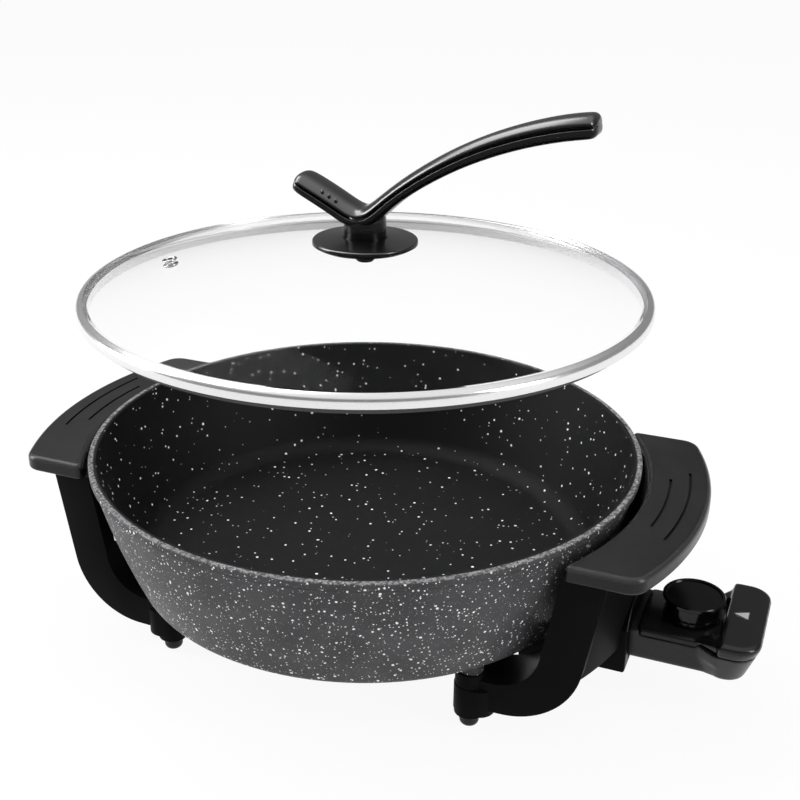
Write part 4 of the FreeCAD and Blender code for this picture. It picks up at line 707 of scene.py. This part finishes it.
def moulded(node, wedges, rounds):
    """The control's shell as one smooth skin, which replaces the node. rounds relax the skin."""
    bpy.ops.object.select_all(action="DESELECT")
    made = [wedge(side, levels) for side in (-1, 1) for levels in wedges]
    piece = bpy.data.objects.new(node + "_skin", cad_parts[node].data.copy())
    bpy.context.collection.objects.link(piece)
    for item in made + [piece]:
        item.select_set(True)
    bpy.context.view_layer.objects.active = piece
    bpy.ops.object.join()
    bpy.ops.object.mode_set(mode="EDIT")
    bpy.ops.mesh.select_all(action="SELECT")
    bpy.ops.mesh.remove_doubles(threshold=MERGE)
    bpy.ops.object.mode_set(mode="OBJECT")
    skin = piece.modifiers.new("skin", "REMESH")
    skin.mode, skin.voxel_size = "VOXEL", VOXEL * MM
    bpy.ops.object.modifier_apply(modifier="skin")
    relax = piece.modifiers.new("relax", "SMOOTH")
    relax.factor, relax.iterations = 0.5, rounds
    bpy.ops.object.modifier_apply(modifier="relax")
    bpy.ops.object.shade_smooth()
    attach(piece, "control")
    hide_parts(node)
    print(piece.name, len(piece.data.polygons), "faces")


LOWER_WEDGES = [[(31.2, 13, 25.4, 20), (42.0, 7, 31.5, 20)],
                [(42.0, 7, 31.5, 18.2), (50.2, 6, 33.0, 18.2)]]
UPPER_WEDGES = [[(50.7, 6, 33.0, 20.5), (57.0, 14, 34.0, 20.5)]]
moulded("control_lower_housing", LOWER_WEDGES, 22)
moulded("control_upper_housing", UPPER_WEDGES, 20)

# %% [markdown]
# ## The steam vent
# The vent is a thin metal eyelet, rolled over on both faces of the glass like the eyelet of a shoe.
# It is two rings and a short tube. Each starts flat at its place, and the three are then joined and
# leaned together, so that the rings lie on the dome, which falls away from the lid's middle there.

# %% Roll the vent's eyelet
vent_from, vent_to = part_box("vent_grommet")
vent_place = (vent_from + vent_to) / 2
EYELET_RING, EYELET_ROLL, EYELET_HALF = 3.9 * MM, 0.75 * MM, 2.3 * MM
EYELET_TUBE, EYELET_SHEET = EYELET_RING - 0.8 * MM, 0.4 * MM
EYELET_SIDES = 40
EYELET_LEAN = math.radians(12)

bpy.ops.object.select_all(action="DESELECT")
bpy.ops.mesh.primitive_cylinder_add(vertices=EYELET_SIDES, radius=EYELET_TUBE,
                                    depth=2 * EYELET_HALF, end_fill_type="NOTHING",
                                    location=vent_place)
eyelet = bpy.context.object
eyelet.name = "vent_eyelet"
wall = eyelet.modifiers.new("wall", "SOLIDIFY")
wall.thickness, wall.offset = EYELET_SHEET, -1
bpy.ops.object.modifier_apply(modifier="wall")
for way in (-1, 1):
    face = vent_place + Vector((0, 0, way * EYELET_HALF))
    bpy.ops.mesh.primitive_torus_add(major_radius=EYELET_RING, minor_radius=EYELET_ROLL,
                                     major_segments=EYELET_SIDES, minor_segments=12, location=face)
    eyelet.select_set(True)
    bpy.context.view_layer.objects.active = eyelet
    bpy.ops.object.join()
outward = Vector((vent_place.x - pot_x, vent_place.y, 0)).normalized()
lean = Matrix.Rotation(EYELET_LEAN, 4, Vector((-outward.y, outward.x, 0)))
eyelet.data.transform(eyelet.matrix_world)
eyelet.matrix_world = Matrix.Identity(4)
eyelet.data.transform(Matrix.Translation(vent_place) @ lean @ Matrix.Translation(-vent_place))
eyelet.data.materials.clear()
eyelet.data.materials.append(vent_metal.material)
bpy.ops.object.shade_smooth_by_angle(angle=math.radians(50))
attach(eyelet, "lid")
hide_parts("vent_grommet")
print("eyelet has", len(eyelet.data.polygons), "faces")

# %% [markdown]
# ## The lifting knob
# The knob's V is one moulding: a short thumb rest and a long arm, each an arched crown over a lower
# lobe, with a crease between the two. Its surface flows, so it is modelled as an artist would: one
# ring of points is drawn, and extruding, turning and resizing it again and again carries it along
# the ridge. A Subdivision Surface modifier then rounds the cage.
#
# KNOB_RING is the right half of the section, in shares of its half width and its depth. Each row
# of KNOB_RIDGE says how far along and how high a section lies, its half width and its depth, in mm.
# Each row of KNOB_CAP closes an end: how far on, and what share of the last section is left.

# %% Extrude the knob's V
KNOB_RING = [(0, 0.54), (0.5, 0.5), (0.88, 0.36), (1.04, 0.14), (0.99, 0.07), (0.74, 0.02),
             (0.98, -0.05), (1, -0.13), (0.95, -0.44), (0.6, -0.54)]
RING_FOOT = (0, -0.5)
KNOB_RIDGE = [
    (-56.8, 294.7, 12, 10.4), (-54, 293.6, 12.6, 10.8), (-46, 289.7, 12.8, 10.8),
    (-38, 285.6, 12.6, 10.8), (-31, 281.8, 12.4, 11), (-26, 279.2, 12.4, 11.4),
    (-21.5, 278.2, 12.4, 11.6), (-17.5, 279.9, 12.2, 11), (-12, 284.4, 11.6, 10),
    (-4, 291.4, 10.8, 9.6), (10, 302.1, 9.8, 10), (30, 314.9, 9.6, 10.8),
    (52, 325.7, 9.9, 11.6), (74, 333.8, 10.3, 12.2), (94, 339, 10.8, 12.6),
    (107, 340.9, 11, 12.6)]
KNOB_CAP = [(2.0, 0.93), (1.6, 0.74), (0.8, 0.42)]


def knob_stations():
    """The middle of each section, its slope, and its half width and depth, with rounded caps."""
    made = []
    last = len(KNOB_RIDGE) - 1
    for number, (x, z, half, depth) in enumerate(KNOB_RIDGE):
        before, after = KNOB_RIDGE[max(number - 1, 0)], KNOB_RIDGE[min(number + 1, last)]
        slope = math.atan2(after[1] - before[1], after[0] - before[0])
        up = Vector((-math.sin(slope), 0, math.cos(slope)))
        made.append((Vector((x, 0, z)) * MM - up * depth / 2 * MM, slope, half * MM, depth * MM))
    for way in (-1, 1):
        place, slope, half, depth = made[0 if way < 0 else -1]
        along = Vector((math.cos(slope), 0, math.sin(slope))) * way
        for step, share in KNOB_CAP:
            place = place + along * step * MM
            cap = (place, slope, half * share, depth * share)
            if way < 0:
                made.insert(0, cap)
            else:
                made.append(cap)
    return made


stations = knob_stations()
place, slope, half, depth = stations[0]
bpy.ops.object.select_all(action="DESELECT")
ring = KNOB_RING + [RING_FOOT] + [(-across, up) for across, up in reversed(KNOB_RING[1:])]
bpy.ops.mesh.primitive_circle_add(vertices=len(ring), fill_type="NGON", location=(0, 0, 0))
knob = bpy.context.object
knob.name = "knob_v"
for vertex, (across, up) in zip(knob.data.vertices, ring):
    up_way = Vector((-math.sin(slope), 0, math.cos(slope)))
    vertex.co = place + Vector((0, across * half, 0)) + up_way * up * depth
bpy.ops.object.mode_set(mode="EDIT")
bpy.ops.mesh.select_all(action="SELECT")
for station, following in zip(stations, stations[1:]):
    start, turn, wide, deep = station
    end, next_turn, next_wide, next_deep = following
    bpy.ops.mesh.extrude_region_move(TRANSFORM_OT_translate={"value": end - start})
    bpy.ops.transform.rotate(value=next_turn - turn, orient_axis="Y", center_override=end)
    taper = (next_deep / deep, next_wide / wide, next_deep / deep)
    bpy.ops.transform.resize(value=taper, center_override=end)
bpy.ops.mesh.select_all(action="SELECT")
bpy.ops.mesh.normals_make_consistent(inside=False)
bpy.ops.object.mode_set(mode="OBJECT")
print("knob's V has", len(knob.data.polygons), "cage faces")

# %% [markdown]
# The modifier is applied first, so that the cage's corners flow. Then the thumb rest gets three
# grip pips on its near shoulder, each a flattened ball.

# %% Smooth the V and add its pips
FLOW_LEVELS = 3
PIPS = [(-43, -10.2, 286.6), (-38.8, -10.2, 284.5), (-34.6, -10.2, 282.3)]
PIP_RADIUS, PIP_SHAPE = 1.5 * MM, (0.65, 0.8, 1.3)

smooth = knob.modifiers.new("flow", "SUBSURF")
smooth.levels = smooth.render_levels = FLOW_LEVELS
bpy.ops.object.modifier_apply(modifier="flow")
for spot in PIPS:
    place = Vector(spot) * MM
    bpy.ops.mesh.primitive_uv_sphere_add(segments=16, ring_count=10, radius=PIP_RADIUS,
                                         location=place)
    bpy.ops.object.mode_set(mode="EDIT")
    bpy.ops.transform.resize(value=PIP_SHAPE, center_override=place)
    bpy.ops.object.mode_set(mode="OBJECT")
    bpy.ops.object.transform_apply(location=True, rotation=True, scale=True)
    knob.select_set(True)
    bpy.context.view_layer.objects.active = knob
    bpy.ops.object.join()
print("added", len(PIPS), "pips")

# %% [markdown]
# The stem is a round post with one groove. It starts as a circle that is extruded upwards, and it
# closes inside the V as a low dome, so nothing flat shows beside the V.

# %% Raise the knob's stem
STEM_RADIUS, STEM_SIDES = 12.3, 64
STEM = [(STEM_RADIUS, 264.0), (11.7, 264.0), (11.7, 264.8), (STEM_RADIUS, 264.8),
        (STEM_RADIUS, 270.5), (12.1, 272.5), (11.2, 274.6), (9.2, 276.2), (5, 277.2)]

stem_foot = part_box("knob_base")[1].z
bpy.ops.object.select_all(action="DESELECT")
bpy.ops.mesh.primitive_circle_add(vertices=STEM_SIDES, radius=STEM_RADIUS * MM, fill_type="NGON",
                                  location=(pot_x, 0, stem_foot))
bpy.ops.object.mode_set(mode="EDIT")
radius, high = STEM_RADIUS, stem_foot / MM
for next_radius, next_high in STEM:
    rise = Vector((0, 0, (next_high - high) * MM))
    bpy.ops.mesh.extrude_region_move(TRANSFORM_OT_translate={"value": rise})
    share = next_radius / radius
    bpy.ops.transform.resize(value=(share, share, 1), center_override=(pot_x, 0, next_high * MM))
    radius, high = next_radius, next_high
bpy.ops.mesh.select_all(action="SELECT")
bpy.ops.mesh.normals_make_consistent(inside=False)
bpy.ops.object.mode_set(mode="OBJECT")
bpy.ops.object.transform_apply(location=True, rotation=True, scale=True)
knob.select_set(True)
bpy.context.view_layer.objects.active = knob
bpy.ops.object.join()
knob.data.materials.clear()
knob.data.materials.append(knob_resin.material)
bpy.ops.object.shade_smooth_by_angle(angle=math.radians(40))
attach(knob, "lid")
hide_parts("knob_handle")
print("knob has", len(knob.data.polygons), "faces")
